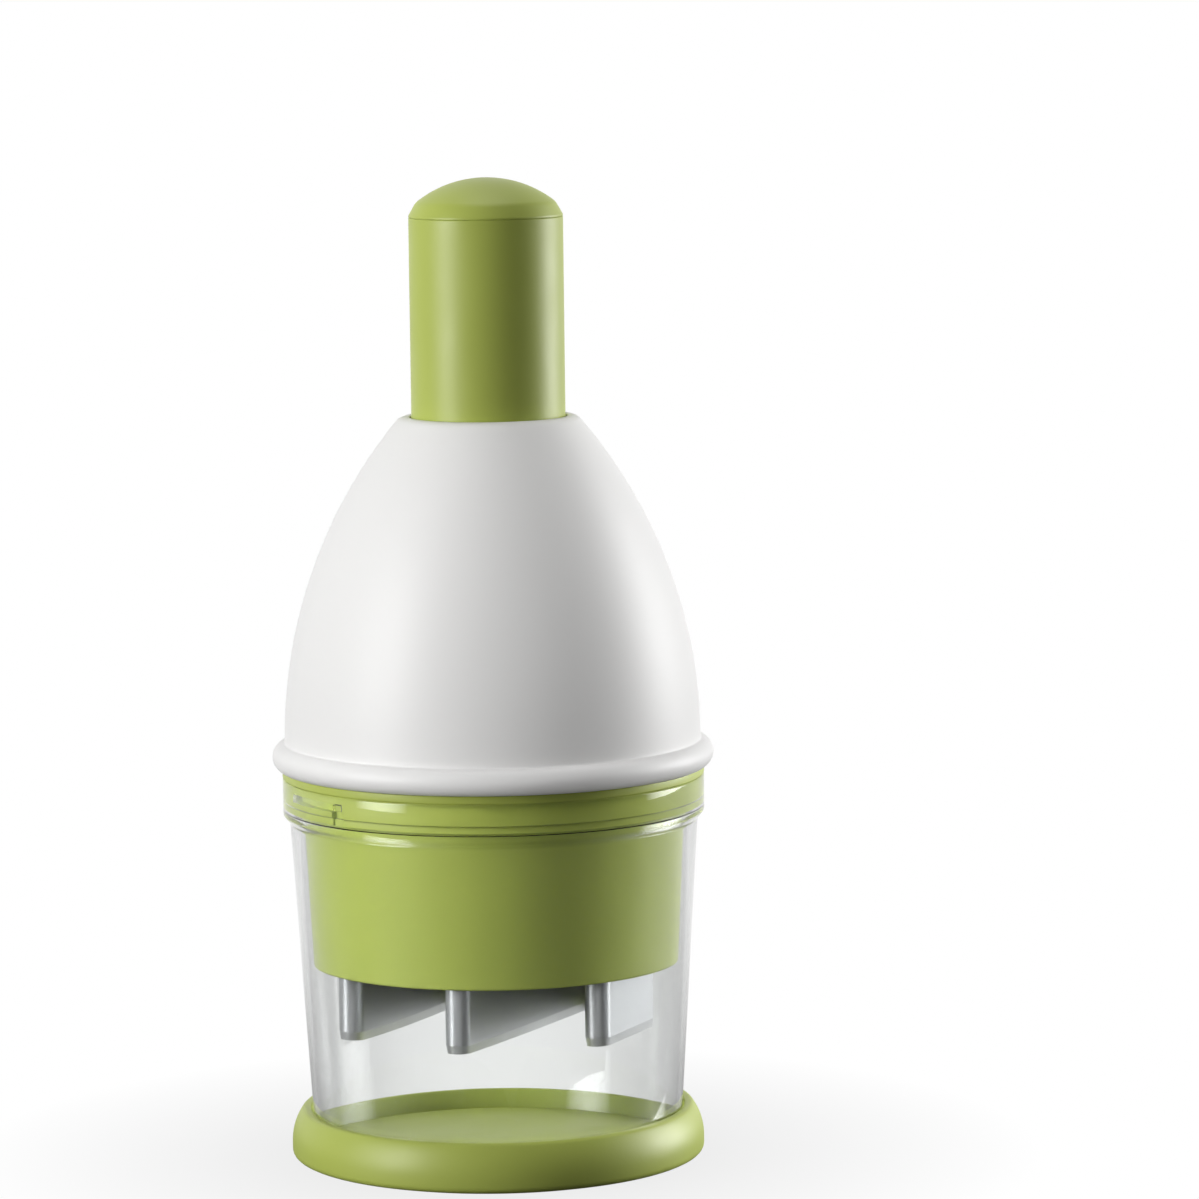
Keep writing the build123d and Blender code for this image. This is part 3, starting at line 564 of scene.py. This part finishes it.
class CHOPPER_OT_finishes(Operator):
    """Make the materials of the chopper"""

    bl_idname = "chopper.finishes"
    bl_label = "Finishes"

    def execute(self, context):
        finish = context.scene.chopper_finish
        moulded("Green plastic", finish.green, finish.green_rough, grain=900.0, depth=0.00006)
        even = 0.012
        white = (finish.white, finish.white_rough)
        moulded("White plastic", *white, grain=420.0, depth=0.00003, play=even, cloud=even)
        moulded("Acetal", finish.acetal, rough=0.34, grain=1100.0, depth=0.00005)
        moulded("Carrier plastic", finish.carrier, rough=0.38, grain=1000.0, depth=0.00006)
        moulded("Soft rubber", finish.rubber, rough=0.68, grain=1600.0, depth=0.0001, play=0.08)
        brushed("Bar steel", finish.bar, rough=0.35, stretch=(1800.0, 1800.0, 40.0))
        brushed("Screw steel", finish.screw, rough=0.34, stretch=(700.0, 700.0, 700.0))
        blade_steel(finish)
        clear_plastic(finish)
        return {"FINISHED"}


class CHOPPER_OT_base(Operator):
    """Turn the green base and its soft ring"""

    bl_idname = "chopper.base"
    bl_label = "Base"

    def execute(self, context):
        sizes = context.scene.chopper_base
        foot = BASE[0].z
        lip = BASE[1].z
        rise = lip - sizes.widest
        curve = (sizes.bulge**2 + rise**2) / (2 * sizes.bulge)
        side = arc((sizes.radius - curve, sizes.widest), curve, asin(rise / curve), 0.0, BASE_STEPS)
        hollow = sizes.floor_radius - sizes.floor_wall
        ceiling = sizes.floor_height - sizes.floor_wall
        edge = sizes.edge_round
        outline = [
            (0.0, sizes.floor_height),
            (sizes.floor_radius, sizes.floor_height, edge),
            (sizes.floor_radius, sizes.channel),
            (sizes.lip_radius, sizes.channel),
            (sizes.lip_radius, lip, edge),
            (*side[0], sizes.lip_round),
            *side[1:],
            (sizes.radius, foot, sizes.foot_round),
            (sizes.recess_radius, foot, edge),
            (sizes.recess_radius, sizes.recess),
            (hollow, sizes.recess, edge),
            (hollow, ceiling),
            (0.0, ceiling),
        ]
        base = turned("Base", outline)
        inset = sizes.rib_wall / 2
        hub = turned(
            "Hub",
            [
                (sizes.hub_radius, sizes.recess),
                (sizes.hub_radius, ceiling + inset),
                (sizes.hub_radius - sizes.rib_wall, ceiling + inset),
                (sizes.hub_radius - sizes.rib_wall, sizes.recess),
            ],
        )
        combine(base, hub, "UNION")
        for azimuth in around(sizes.rib_count):
            combine(base, self.rib(sizes, hollow, ceiling, azimuth), "UNION")
        dress(base, "Green plastic", "base", "base_cap")
        self.grip(sizes)
        return {"FINISHED"}

    def rib(self, sizes, hollow, ceiling, azimuth):
        """Upright rib under the floor, from the hub out to the wall."""
        inset = sizes.rib_wall / 2
        inner = sizes.hub_radius - inset
        outer = hollow + inset
        low = sizes.recess + inset / 4
        rest()
        bpy.ops.mesh.primitive_cube_add(size=1.0)
        rib = bpy.context.object
        bpy.ops.object.mode_set(mode="EDIT")
        bpy.ops.transform.resize(value=(outer - inner, sizes.rib_wall, ceiling + inset - low))
        bpy.ops.transform.translate(value=((inner + outer) / 2, 0.0, (ceiling + inset + low) / 2))
        bpy.ops.transform.rotate(value=-azimuth, orient_axis="Z", center_override=(0, 0, 0))
        bpy.ops.object.mode_set(mode="OBJECT")
        return rib

    def grip(self, sizes):
        """Soft ring in the base's recess."""
        low = GRIP[0].z
        high = GRIP[1].z
        outer = GRIP[1].x
        inner = outer - sizes.grip_width
        outline = [
            (outer, low, sizes.grip_round),
            (outer, high),
            (inner, high),
            (inner, low, sizes.grip_round),
        ]
        dress(turned("GripRing", outline), "Soft rubber", "base", "grip_ring")


class CHOPPER_OT_container(Operator):
    """Turn the clear container and add its bayonet lugs"""

    bl_idname = "chopper.container"
    bl_label = "Container"

    def execute(self, context):
        sizes = context.scene.chopper_container
        foot = CONTAINER[0].z
        rim = CONTAINER[1].z
        collar = CONTAINER[1].x
        collar_inner = collar - sizes.collar_wall
        collar_foot = rim - sizes.collar
        flare_foot = collar_foot - sizes.flare
        ledge = rim - sizes.ledge
        guard = context.scene.chopper_guard
        bore = guard.collar_radius - sizes.contact
        seat = rim - guard.collar - sizes.contact
        edge = sizes.edge_round
        outline = [
            (container_outer(sizes, ledge) - sizes.wall, ledge, edge),
            (sizes.foot_radius - sizes.wall, foot, edge),
            (sizes.foot_radius, foot, edge),
            *self.flare(sizes, flare_foot, collar, collar_foot),
            (collar, rim, edge),
            (bore, rim, edge),
            (bore, seat),
            (bore - guard.step_inset, seat),
            (bore - guard.step_inset, ledge),
        ]
        container = turned("Container", outline)
        lug_top = rim - sizes.lug_drop
        inner = collar_inner - sizes.lug_reach
        outer = collar_inner + sizes.collar_wall / 2
        span = sizes.lug_width / collar_inner
        for azimuth in around(sizes.lug_count, sizes.lug_azimuth):
            lug = segment(inner, outer, lug_top - sizes.lug_height, lug_top, azimuth, span)
            combine(container, lug, "UNION")
        dress(container, "Clear plastic", "container", "container")
        return {"FINISHED"}

    def flare(self, sizes, low, collar, high):
        """Soft S from the tapered wall out to the collar."""
        start = container_outer(sizes, low)
        slope = tan(sizes.draft) * (high - low)
        points = []
        for step in range(FLARE_STEPS + 1):
            along = step / FLARE_STEPS
            left = 1 - along
            wide = collar * along**2 * (1 + 2 * left) + start * left**2 * (1 + 2 * along)
            points.append((wide + slope * along * left**2, low + (high - low) * along))
        return points


class CHOPPER_OT_guard(Operator):
    """Turn the green blade guard, add its lugs and cut its bayonet grooves"""

    bl_idname = "chopper.guard"
    bl_label = "Blade guard"

    def execute(self, context):
        sizes = context.scene.chopper_guard
        cup = context.scene.chopper_container
        mouth = GUARD[0].z
        top = GUARD[1].z
        rim = CONTAINER[1].z
        flange = GUARD[1].x
        collar_foot = rim - sizes.collar
        step_foot = collar_foot - sizes.step
        shoulder = step_foot - sizes.shoulder
        step_radius = sizes.collar_radius - sizes.step_inset
        back = cup.wall + sizes.gap
        edge = sizes.edge_round
        outline = [
            (container_outer(cup, mouth) - back, mouth, sizes.mouth_round),
            (container_outer(cup, step_foot) - back, step_foot, edge),
            (step_radius, step_foot, edge),
            (step_radius, collar_foot),
            (sizes.collar_radius, collar_foot, edge),
            (sizes.collar_radius, rim),
            (flange, rim, edge),
            (flange, rim + sizes.flange, edge),
            (sizes.spigot, rim + sizes.flange),
            (sizes.spigot, top, edge),
            (sizes.bore, top, edge),
            (sizes.bore, step_foot),
            (container_outer(cup, shoulder) - back - sizes.wall, shoulder),
            (container_outer(cup, mouth) - back - sizes.wall, mouth, sizes.mouth_round),
        ]
        guard = turned("BladeGuard", outline)
        low = rim + sizes.flange + sizes.lug_lift
        high = low + sizes.lug_height
        root = (sizes.spigot + sizes.bore) / 2
        for azimuth in around(sizes.lug_count):
            lug = segment(root, sizes.spigot + sizes.lug_reach, low, high, azimuth, sizes.lug_span)
            combine(guard, lug, "UNION")
        self.grooves(guard, sizes, cup, rim, step_foot)
        dress(guard, "Green plastic", "guard", "blade_guard")
        return {"FINISHED"}

    def grooves(self, guard, sizes, cup, rim, step_foot):
        """L-shaped grooves: an upright entry and a leg to one side."""
        collar_inner = CONTAINER[1].x - cup.collar_wall
        depth = collar_inner - cup.lug_reach - sizes.groove_gap
        outer = CONTAINER[1].x - cup.collar_wall / 2
        high = rim - cup.lug_drop + sizes.groove_gap
        low = high - cup.lug_height - 2 * sizes.groove_gap
        entry = (cup.lug_width + 2 * sizes.groove_gap) / collar_inner
        for azimuth in around(cup.lug_count, cup.lug_azimuth):
            mouth = segment(depth, outer, step_foot - sizes.step, high, azimuth, entry)
            combine(guard, mouth, "DIFFERENCE")
            middle = azimuth - sizes.groove_turn / 2
            leg = segment(depth, outer, low, high, middle, sizes.groove_turn + entry)
            combine(guard, leg, "DIFFERENCE")


class CHOPPER_OT_dome(Operator):
    """Turn the white dome with its beaded rim and guide tube, and add its bosses and ledges"""

    bl_idname = "chopper.dome"
    bl_label = "Dome"

    def execute(self, context):
        sizes = context.scene.chopper_dome
        foot = DOME[0].z
        top = DOME[1].z
        flank = foot + sizes.bead
        rise = top - flank
        narrowing = sizes.radius - sizes.top_radius
        curve = (narrowing**2 + rise**2) / (2 * narrowing)
        middle = (sizes.radius - curve, flank)
        inner_curve = curve - sizes.wall
        guide = sizes.neck_radius + sizes.guide_wall
        outside = arc(middle, curve, 0.0, asin(rise / curve), FLANK_STEPS)
        inside = arc(middle, inner_curve, acos((guide - middle[0]) / inner_curve), 0.0, INNER_STEPS)
        guide_foot = top - sizes.guide_depth
        skirt = foot + sizes.skirt
        edge = sizes.edge_round
        outline = [
            (sizes.skirt_radius, foot, edge),
            (sizes.bead_foot, foot, edge),
            *self.bead(sizes, foot, flank),
            (*outside[0], sizes.crease_round),
            *outside[1:-1],
            (*outside[-1], sizes.top_round),
            (sizes.neck_radius, top, sizes.neck_round),
            (sizes.neck_radius, guide_foot, edge),
            (guide, guide_foot, edge),
            *inside,
            (sizes.skirt_radius, skirt),
        ]
        dome = turned("DomeShell", outline, CREASE_STEPS)
        highest = asin((guide_foot - flank) / curve)
        room = arc(middle, curve - sizes.wall / 2, 0.0, highest, INNER_STEPS)
        self.bosses(dome, sizes, [(0.0, flank), *room, (0.0, room[-1][1])])
        self.ledges(dome, sizes, context.scene.chopper_guard, foot)
        dress(dome, "White plastic", "head", "dome_shell")
        return {"FINISHED"}

    def bosses(self, dome, sizes, room):
        """Screw bosses with pilot holes; room bounds them and ends in the middle of the dome's wall."""
        top = room[-1][1]
        pilot_top = sizes.boss_foot + sizes.pilot_depth
        pilot_foot = sizes.boss_foot - sizes.pilot_depth / 2
        for azimuth in around(sizes.boss_count, sizes.boss_azimuth):
            boss = post(sizes.boss_radius, sizes.boss_foot, top, azimuth, sizes.boss_circle)
            combine(boss, turned("Room", room), "INTERSECT")
            combine(dome, boss, "UNION")
            pilot = post(sizes.pilot_radius, pilot_foot, pilot_top, azimuth, sizes.boss_circle)
            combine(dome, pilot, "DIFFERENCE")

    def ledges(self, dome, sizes, guard, foot):
        """Ledges on which the guard's lugs hang."""
        inner = guard.spigot + sizes.ledge_gap
        outer = sizes.skirt_radius + sizes.wall / 4
        low = foot + sizes.ledge_lift
        for azimuth in around(guard.lug_count):
            ledge = segment(inner, outer, low, low + sizes.ledge_height, azimuth, sizes.ledge_span)
            combine(dome, ledge, "UNION")

    def bead(self, sizes, foot, flank):
        """Inner points of the bead's arc, through its foot, its widest point and the flank's foot."""
        first = Vector((sizes.bead_foot, foot))
        widest = Vector((DOME[1].x, foot + sizes.bead_peak))
        last = Vector((sizes.radius, flank))
        rows = Matrix((2 * (widest - first), 2 * (last - first)))
        middle = rows.inverted() @ Vector(
            (widest.length_squared - first.length_squared, last.length_squared - first.length_squared)
        )
        radius = (first - middle).length
        low = asin((first - middle).y / radius)
        high = asin((last - middle).y / radius)
        return arc(middle, radius, low, high, BEAD_STEPS)[1:-1]


class CHOPPER_OT_handle(Operator):
    """Turn the green push handle and its cap"""

    bl_idname = "chopper.handle"
    bl_label = "Handle"

    def execute(self, context):
        sizes = context.scene.chopper_handle
        self.sleeve(sizes)
        self.cap(sizes)
        return {"FINISHED"}

    def sleeve(self, sizes):
        """Tube of the handle, with its stop flange, its bulkhead and the hub for the bush."""
        low = SLEEVE[0].z
        high = SLEEVE[1].z
        flange = SLEEVE[1].x
        bore = sizes.radius - sizes.wall
        bulkhead = high - sizes.bulkhead
        under = bulkhead - sizes.bulkhead_wall
        hub = under - sizes.hub
        hub_radius = sizes.hub_bore + sizes.hub_wall
        edge = sizes.edge_round
        outline = [
            (flange, low, edge),
            (flange, low + sizes.flange, edge),
            (sizes.radius, low + sizes.flange),
            (sizes.radius, high, edge),
            (bore, high),
            (bore, bulkhead),
            (sizes.hub_bore, bulkhead),
            (sizes.hub_bore, hub),
            (hub_radius, hub, edge),
            (hub_radius, under),
            (bore, under),
            (bore, low, edge),
        ]
        dress(turned("HandleSleeve", outline), "Green plastic", "plunger", "handle_sleeve")

    def cap(self, sizes):
        """Domed cap with a bevelled edge, plugged into the tube."""
        seam = SLEEVE[1].z
        top = CAP[1].z
        bevel = seam + sizes.cap_bevel
        bevel_radius = sizes.radius - sizes.cap_inset
        inner_radius = bevel_radius - sizes.cap_wall
        plug = sizes.radius - sizes.wall - sizes.cap_plug_gap
        crown = self.crown(bevel_radius, bevel, top)
        ceiling = self.crown(inner_radius, bevel - sizes.cap_wall, top - sizes.cap_wall)
        edge = sizes.edge_round
        outline = [
            *crown[:-1],
            (*crown[-1], sizes.cap_round),
            (sizes.radius, seam + sizes.cap_land, edge),
            (sizes.radius, seam, edge / 2),
            (plug, seam),
            (plug, CAP[0].z, edge),
            (inner_radius, CAP[0].z, edge),
            *reversed(ceiling),
        ]
        dress(turned("HandleCap", outline), "Green plastic", "plunger", "handle_cap")

    def crown(self, radius, low, top):
        """Arc from the axis at the top down to a radius at the lower height."""
        rise = top - low
        curve = (radius**2 + rise**2) / (2 * rise)
        last = pi / 2 - asin(radius / curve)
        points = arc((0.0, top - curve), curve, pi / 2, last, CROWN_STEPS)
        return [(0.0, top), *points[1:]]


class CHOPPER_OT_spring(Operator):
    """Wind the return spring"""

    bl_idname = "chopper.spring"
    bl_label = "Return spring"

    def execute(self, context):
        sizes = context.scene.chopper_spring
        low = SPRING[0].z + sizes.wire / 2
        high = SPRING[1].z - sizes.wire / 2
        close_rise = sizes.wire + sizes.close_gap
        close_height = sizes.close_turns * close_rise
        open_turns = sizes.turns - 2 * sizes.close_turns
        open_rise = (high - low - 2 * close_height) / open_turns
        coils = [
            self.coil(sizes, low, close_rise, sizes.close_turns),
            self.coil(sizes, low + close_height, open_rise, open_turns),
            self.coil(sizes, high - close_height, close_rise, sizes.close_turns),
        ]
        spring = coils[0]
        pick(*coils)
        bpy.ops.object.join()
        spring.name = spring.data.name = "MainSpring"
        bpy.ops.object.mode_set(mode="EDIT")
        bpy.ops.mesh.select_all(action="SELECT")
        bpy.ops.mesh.remove_doubles(threshold=MERGE_DISTANCE)
        bpy.ops.mesh.fill_holes(sides=0)
        close(spring)
        surface(spring, "Bar steel", "main_spring")
        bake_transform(spring)
        return {"FINISHED"}

    def coil(self, sizes, low, rise, turns):
        """Turns of wire that start at the given height on the +X side of the axis."""
        rest()
        bpy.ops.mesh.primitive_circle_add(vertices=WIRE_SIDES, radius=sizes.wire / 2)
        coil = bpy.context.object
        middle = SPRING[1].x - sizes.wire / 2
        for vertex in coil.data.vertices:
            vertex.co = (middle + vertex.co.x, 0.0, low + vertex.co.y)
        wind = coil.modifiers.new("Wind", "SCREW")
        wind.axis = "Z"
        wind.angle = 2 * pi
        wind.screw_offset = rise
        wind.iterations = turns
        wind.steps = wind.render_steps = COIL_STEPS
        bpy.ops.object.modifier_apply(modifier=wind.name)
        return coil


class CHOPPER_OT_mechanism(Operator):
    """Give the pieces that keep their mesh from the frame their finishes"""

    bl_idname = "chopper.mechanism"
    bl_label = "Mechanism"

    def execute(self, context):
        for finish, nodes in MECHANISM.items():
            material = bpy.data.materials[finish]
            for node in nodes:
                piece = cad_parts[node]
                if not piece.material_slots:
                    piece.data.materials.append(material)
                for slot in piece.material_slots:
                    slot.material = material
        return {"FINISHED"}


class CHOPPER_OT_stage(Operator):
    """Set up the floor, the world, the lamps and the camera"""

    bl_idname = "chopper.stage"
    bl_label = "Stage"

    def execute(self, context):
        stage = context.scene.chopper_stage
        self.floor(stage)
        self.world(context, stage)
        self.lamp("KeyLamp", place=(-1.01, -0.52, 0.36), aim=0.12, size=(0.7, 1.2), power=13.0)
        self.lamp("RimLamp", place=(1.05, 0.34, 0.25), aim=0.10, size=(0.8, 1.1), power=12.5)
        self.lamp("TopLamp", place=(0.0, 0.10, 1.30), aim=0.12, size=(0.9, 0.9), power=3.0)
        lamp = self.lamp("DomeLamp", place=(0.40, -1.00, 0.40), aim=0.12, size=(0.9, 0.9), power=2.4)
        self.light_only(lamp, bpy.data.objects["DomeShell"])
        lamp = self.lamp("BladeLamp", place=(-0.15, -0.95, 0.40), aim=0.04, size=(0.9, 0.6), power=9.0)
        self.light_only(lamp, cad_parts["blade"])
        lamp = self.lamp("GreenLamp", place=(1.02, 0.41, 0.15), aim=0.05, size=(0.8, 1.1), power=5.0)
        self.light_only(lamp, bpy.data.objects["Base"], bpy.data.objects["BladeGuard"])
        self.camera(context, stage)
        context.scene.view_settings.view_transform = "Standard"
        return {"FINISHED"}

    def floor(self, stage):
        """Pale floor that shows as white paper; round the chopper's foot it is darker by a painted shadow,
        in which a faint real shadow also falls.
        """
        rest()
        bpy.ops.mesh.primitive_circle_add(vertices=FLOOR_SIDES, radius=stage.floor, fill_type="NGON")
        floor = bpy.context.object
        floor.name = floor.data.name = "Floor"
        tree, shader = new_material("Pale floor")
        grain = noise(tree, scale=120.0, detail=3.0)
        tone = shift(tree, grain, (stage.floor_tone,) * 3, dark=0.99, light=1.01)
        feed(tree, shader, {"Base Color": tone, "Roughness": 0.8})
        place = tree.nodes.new("ShaderNodeTexCoord").outputs["Object"]
        away = new_node(tree, "ShaderNodeVectorMath", {0: place}, operation="LENGTH")
        # Painted shadow: near the axis the floor shows less of its white glow and more of its dark tone,
        # under any lamp.
        paper = spread(tree, away.outputs["Value"], stage.paper, 1.0, stage.painted_shadow_fade_start, stage.painted_shadow_fade_end)
        depth = component(tree, place, "Y")
        behind = spread(tree, depth, 0.0, 1.0, -stage.mirror_front, stage.mirror_back)
        plain, mirrored = self.sights(tree)
        shown = calculate(tree, "MAXIMUM", plain, calculate(tree, "MULTIPLY", mirrored, behind))
        white = calculate(tree, "MULTIPLY", shown, paper)
        glow = tree.nodes.new("ShaderNodeEmission")
        mix_shaders(tree, white, shader.outputs["BSDF"], glow.outputs["Emission"])
        floor.data.materials.append(bpy.data.materials["Pale floor"])

    def sights(self, tree):
        """Marks of rays that have met no dull face: plain, also through the container, and mirrored."""
        path = tree.nodes.new("ShaderNodeLightPath")
        early = calculate(tree, "LESS_THAN", path.outputs["Diffuse Depth"], NO_BOUNCE)
        straight = calculate(tree, "LESS_THAN", path.outputs["Glossy Depth"], NO_BOUNCE)
        through = calculate(tree, "MULTIPLY", path.outputs["Is Transmission Ray"], early)
        plain = calculate(tree, "MULTIPLY", through, straight)
        plain = calculate(tree, "MAXIMUM", path.outputs["Is Camera Ray"], plain)
        mirrored = calculate(tree, "MULTIPLY", path.outputs["Is Glossy Ray"], early)
        mirrored = calculate(tree, "MAXIMUM", mirrored, through)
        return plain, mirrored

    def world(self, context, stage):
        """White paper in plain sight; mirrored rays see it behind the chopper and a dim room in front."""
        world = bpy.data.worlds.new("Studio")
        context.scene.world = world
        world.use_nodes = True
        tree = world.node_tree
        coordinates = tree.nodes.new("ShaderNodeTexCoord")
        lean = component(tree, coordinates.outputs["Generated"], "Y")
        room = spread(tree, lean, stage.room, 1.0, 0.0, stage.room_end)
        plain, mirrored = self.sights(tree)
        gloss = new_node(tree, "ShaderNodeMix", {"Factor": mirrored, "A": stage.room, "B": room})
        seen = {"Factor": plain, "A": gloss.outputs["Result"], "B": 1.0}
        strength = new_node(tree, "ShaderNodeMix", seen).outputs["Result"]
        white = (1.0, 1.0, 1.0, 1.0)
        feed(tree, tree.nodes["Background"], {"Color": white, "Strength": strength})

    def lamp(self, name, place, aim, size, power):
        """Soft box that faces the axis at the height named aim."""
        rest()
        sight = Vector((0.0, 0.0, aim)) - Vector(place)
        turn = sight.to_track_quat("-Z", "Y").to_euler()
        bpy.ops.object.light_add(type="AREA", location=place, rotation=turn)
        lamp = bpy.context.object
        lamp.name = lamp.data.name = name
        lamp.data.shape = "RECTANGLE"
        lamp.data.size, lamp.data.size_y = size
        lamp.data.energy = power
        lamp.visible_camera = False
        self.soften(lamp.data)
        return lamp

    def soften(self, light):
        """Fade a lamp from its middle to its edges, as a soft box does, at the same power."""
        light.use_nodes = True
        tree = light.node_tree
        middle = 0.5
        place = tree.nodes.new("ShaderNodeNewGeometry")
        fades = []
        for side in ("X", "Y"):
            along = component(tree, place.outputs["Parametric"], side)
            offset = calculate(tree, "SUBTRACT", along, middle)
            offset = calculate(tree, "MULTIPLY", offset, offset)
            fades.append(spread(tree, offset, LAMP_PEAK, 0.0, 0.0, middle**2))
        feed(tree, tree.nodes["Emission"], {"Strength": calculate(tree, "MULTIPLY", *fades)})

    def light_only(self, lamp, *pieces):
        """Let a lamp light these pieces alone."""
        lit = bpy.data.collections.new(lamp.name)
        for piece in pieces:
            lit.objects.link(piece)
        lamp.light_linking.receiver_collection = lit

    def camera(self, context, stage):
        """Camera in front of the axis, turned by its yaw, pitch and roll."""
        rest()
        turn = Matrix.Rotation(-stage.yaw, 3, "Z")
        turn = turn @ Matrix.Rotation(pi / 2 - stage.pitch, 3, "X")
        turn = turn @ Matrix.Rotation(-stage.roll, 3, "Z")
        place = (0.0, -stage.distance, stage.height)
        bpy.ops.object.camera_add(location=place, rotation=turn.to_euler())
        camera = bpy.context.object
        camera.name = camera.data.name = "Camera"
        camera.data.angle = stage.view
        context.scene.camera = camera


class CHOPPER_PT_panel(Panel):
    """Steps and sizes of the chopper"""

    bl_idname = "CHOPPER_PT_panel"
    bl_label = "Vegetable Chopper"
    bl_space_type = "VIEW_3D"
    bl_region_type = "UI"
    bl_category = "Chopper"

    def draw(self, context):
        for step in STEPS:
            self.layout.operator(step.bl_idname)
        for name, group in GROUPS.items():
            box = self.layout.box()
            box.label(text=group.__name__.replace("Chopper", ""))
            for key in group.__annotations__:
                box.prop(getattr(context.scene, name), key)


GROUPS = {
    "chopper_base": ChopperBase,
    "chopper_container": ChopperContainer,
    "chopper_guard": ChopperGuard,
    "chopper_dome": ChopperDome,
    "chopper_handle": ChopperHandle,
    "chopper_spring": ChopperSpring,
    "chopper_finish": ChopperFinish,
    "chopper_stage": ChopperStage,
}
STEPS = (
    CHOPPER_OT_finishes,
    CHOPPER_OT_base,
    CHOPPER_OT_container,
    CHOPPER_OT_guard,
    CHOPPER_OT_dome,
    CHOPPER_OT_handle,
    CHOPPER_OT_spring,
    CHOPPER_OT_mechanism,
    CHOPPER_OT_stage,
)
KINDS = (*GROUPS.values(), *STEPS, CHOPPER_PT_panel)


def register():
    for kind in KINDS:
        bpy.utils.register_class(kind)
    for name, group in GROUPS.items():
        setattr(bpy.types.Scene, name, PointerProperty(type=group))


def unregister():
    for name in GROUPS:
        delattr(bpy.types.Scene, name)
    for kind in reversed(KINDS):
        bpy.utils.unregister_class(kind)


def main():
    register()
    bpy.ops.chopper.finishes()
    bpy.ops.chopper.base()
    bpy.ops.chopper.container()
    bpy.ops.chopper.guard()
    bpy.ops.chopper.dome()
    bpy.ops.chopper.handle()
    bpy.ops.chopper.spring()
    bpy.ops.chopper.mechanism()
    bpy.ops.chopper.stage()


if __name__ == "__main__":
    main()
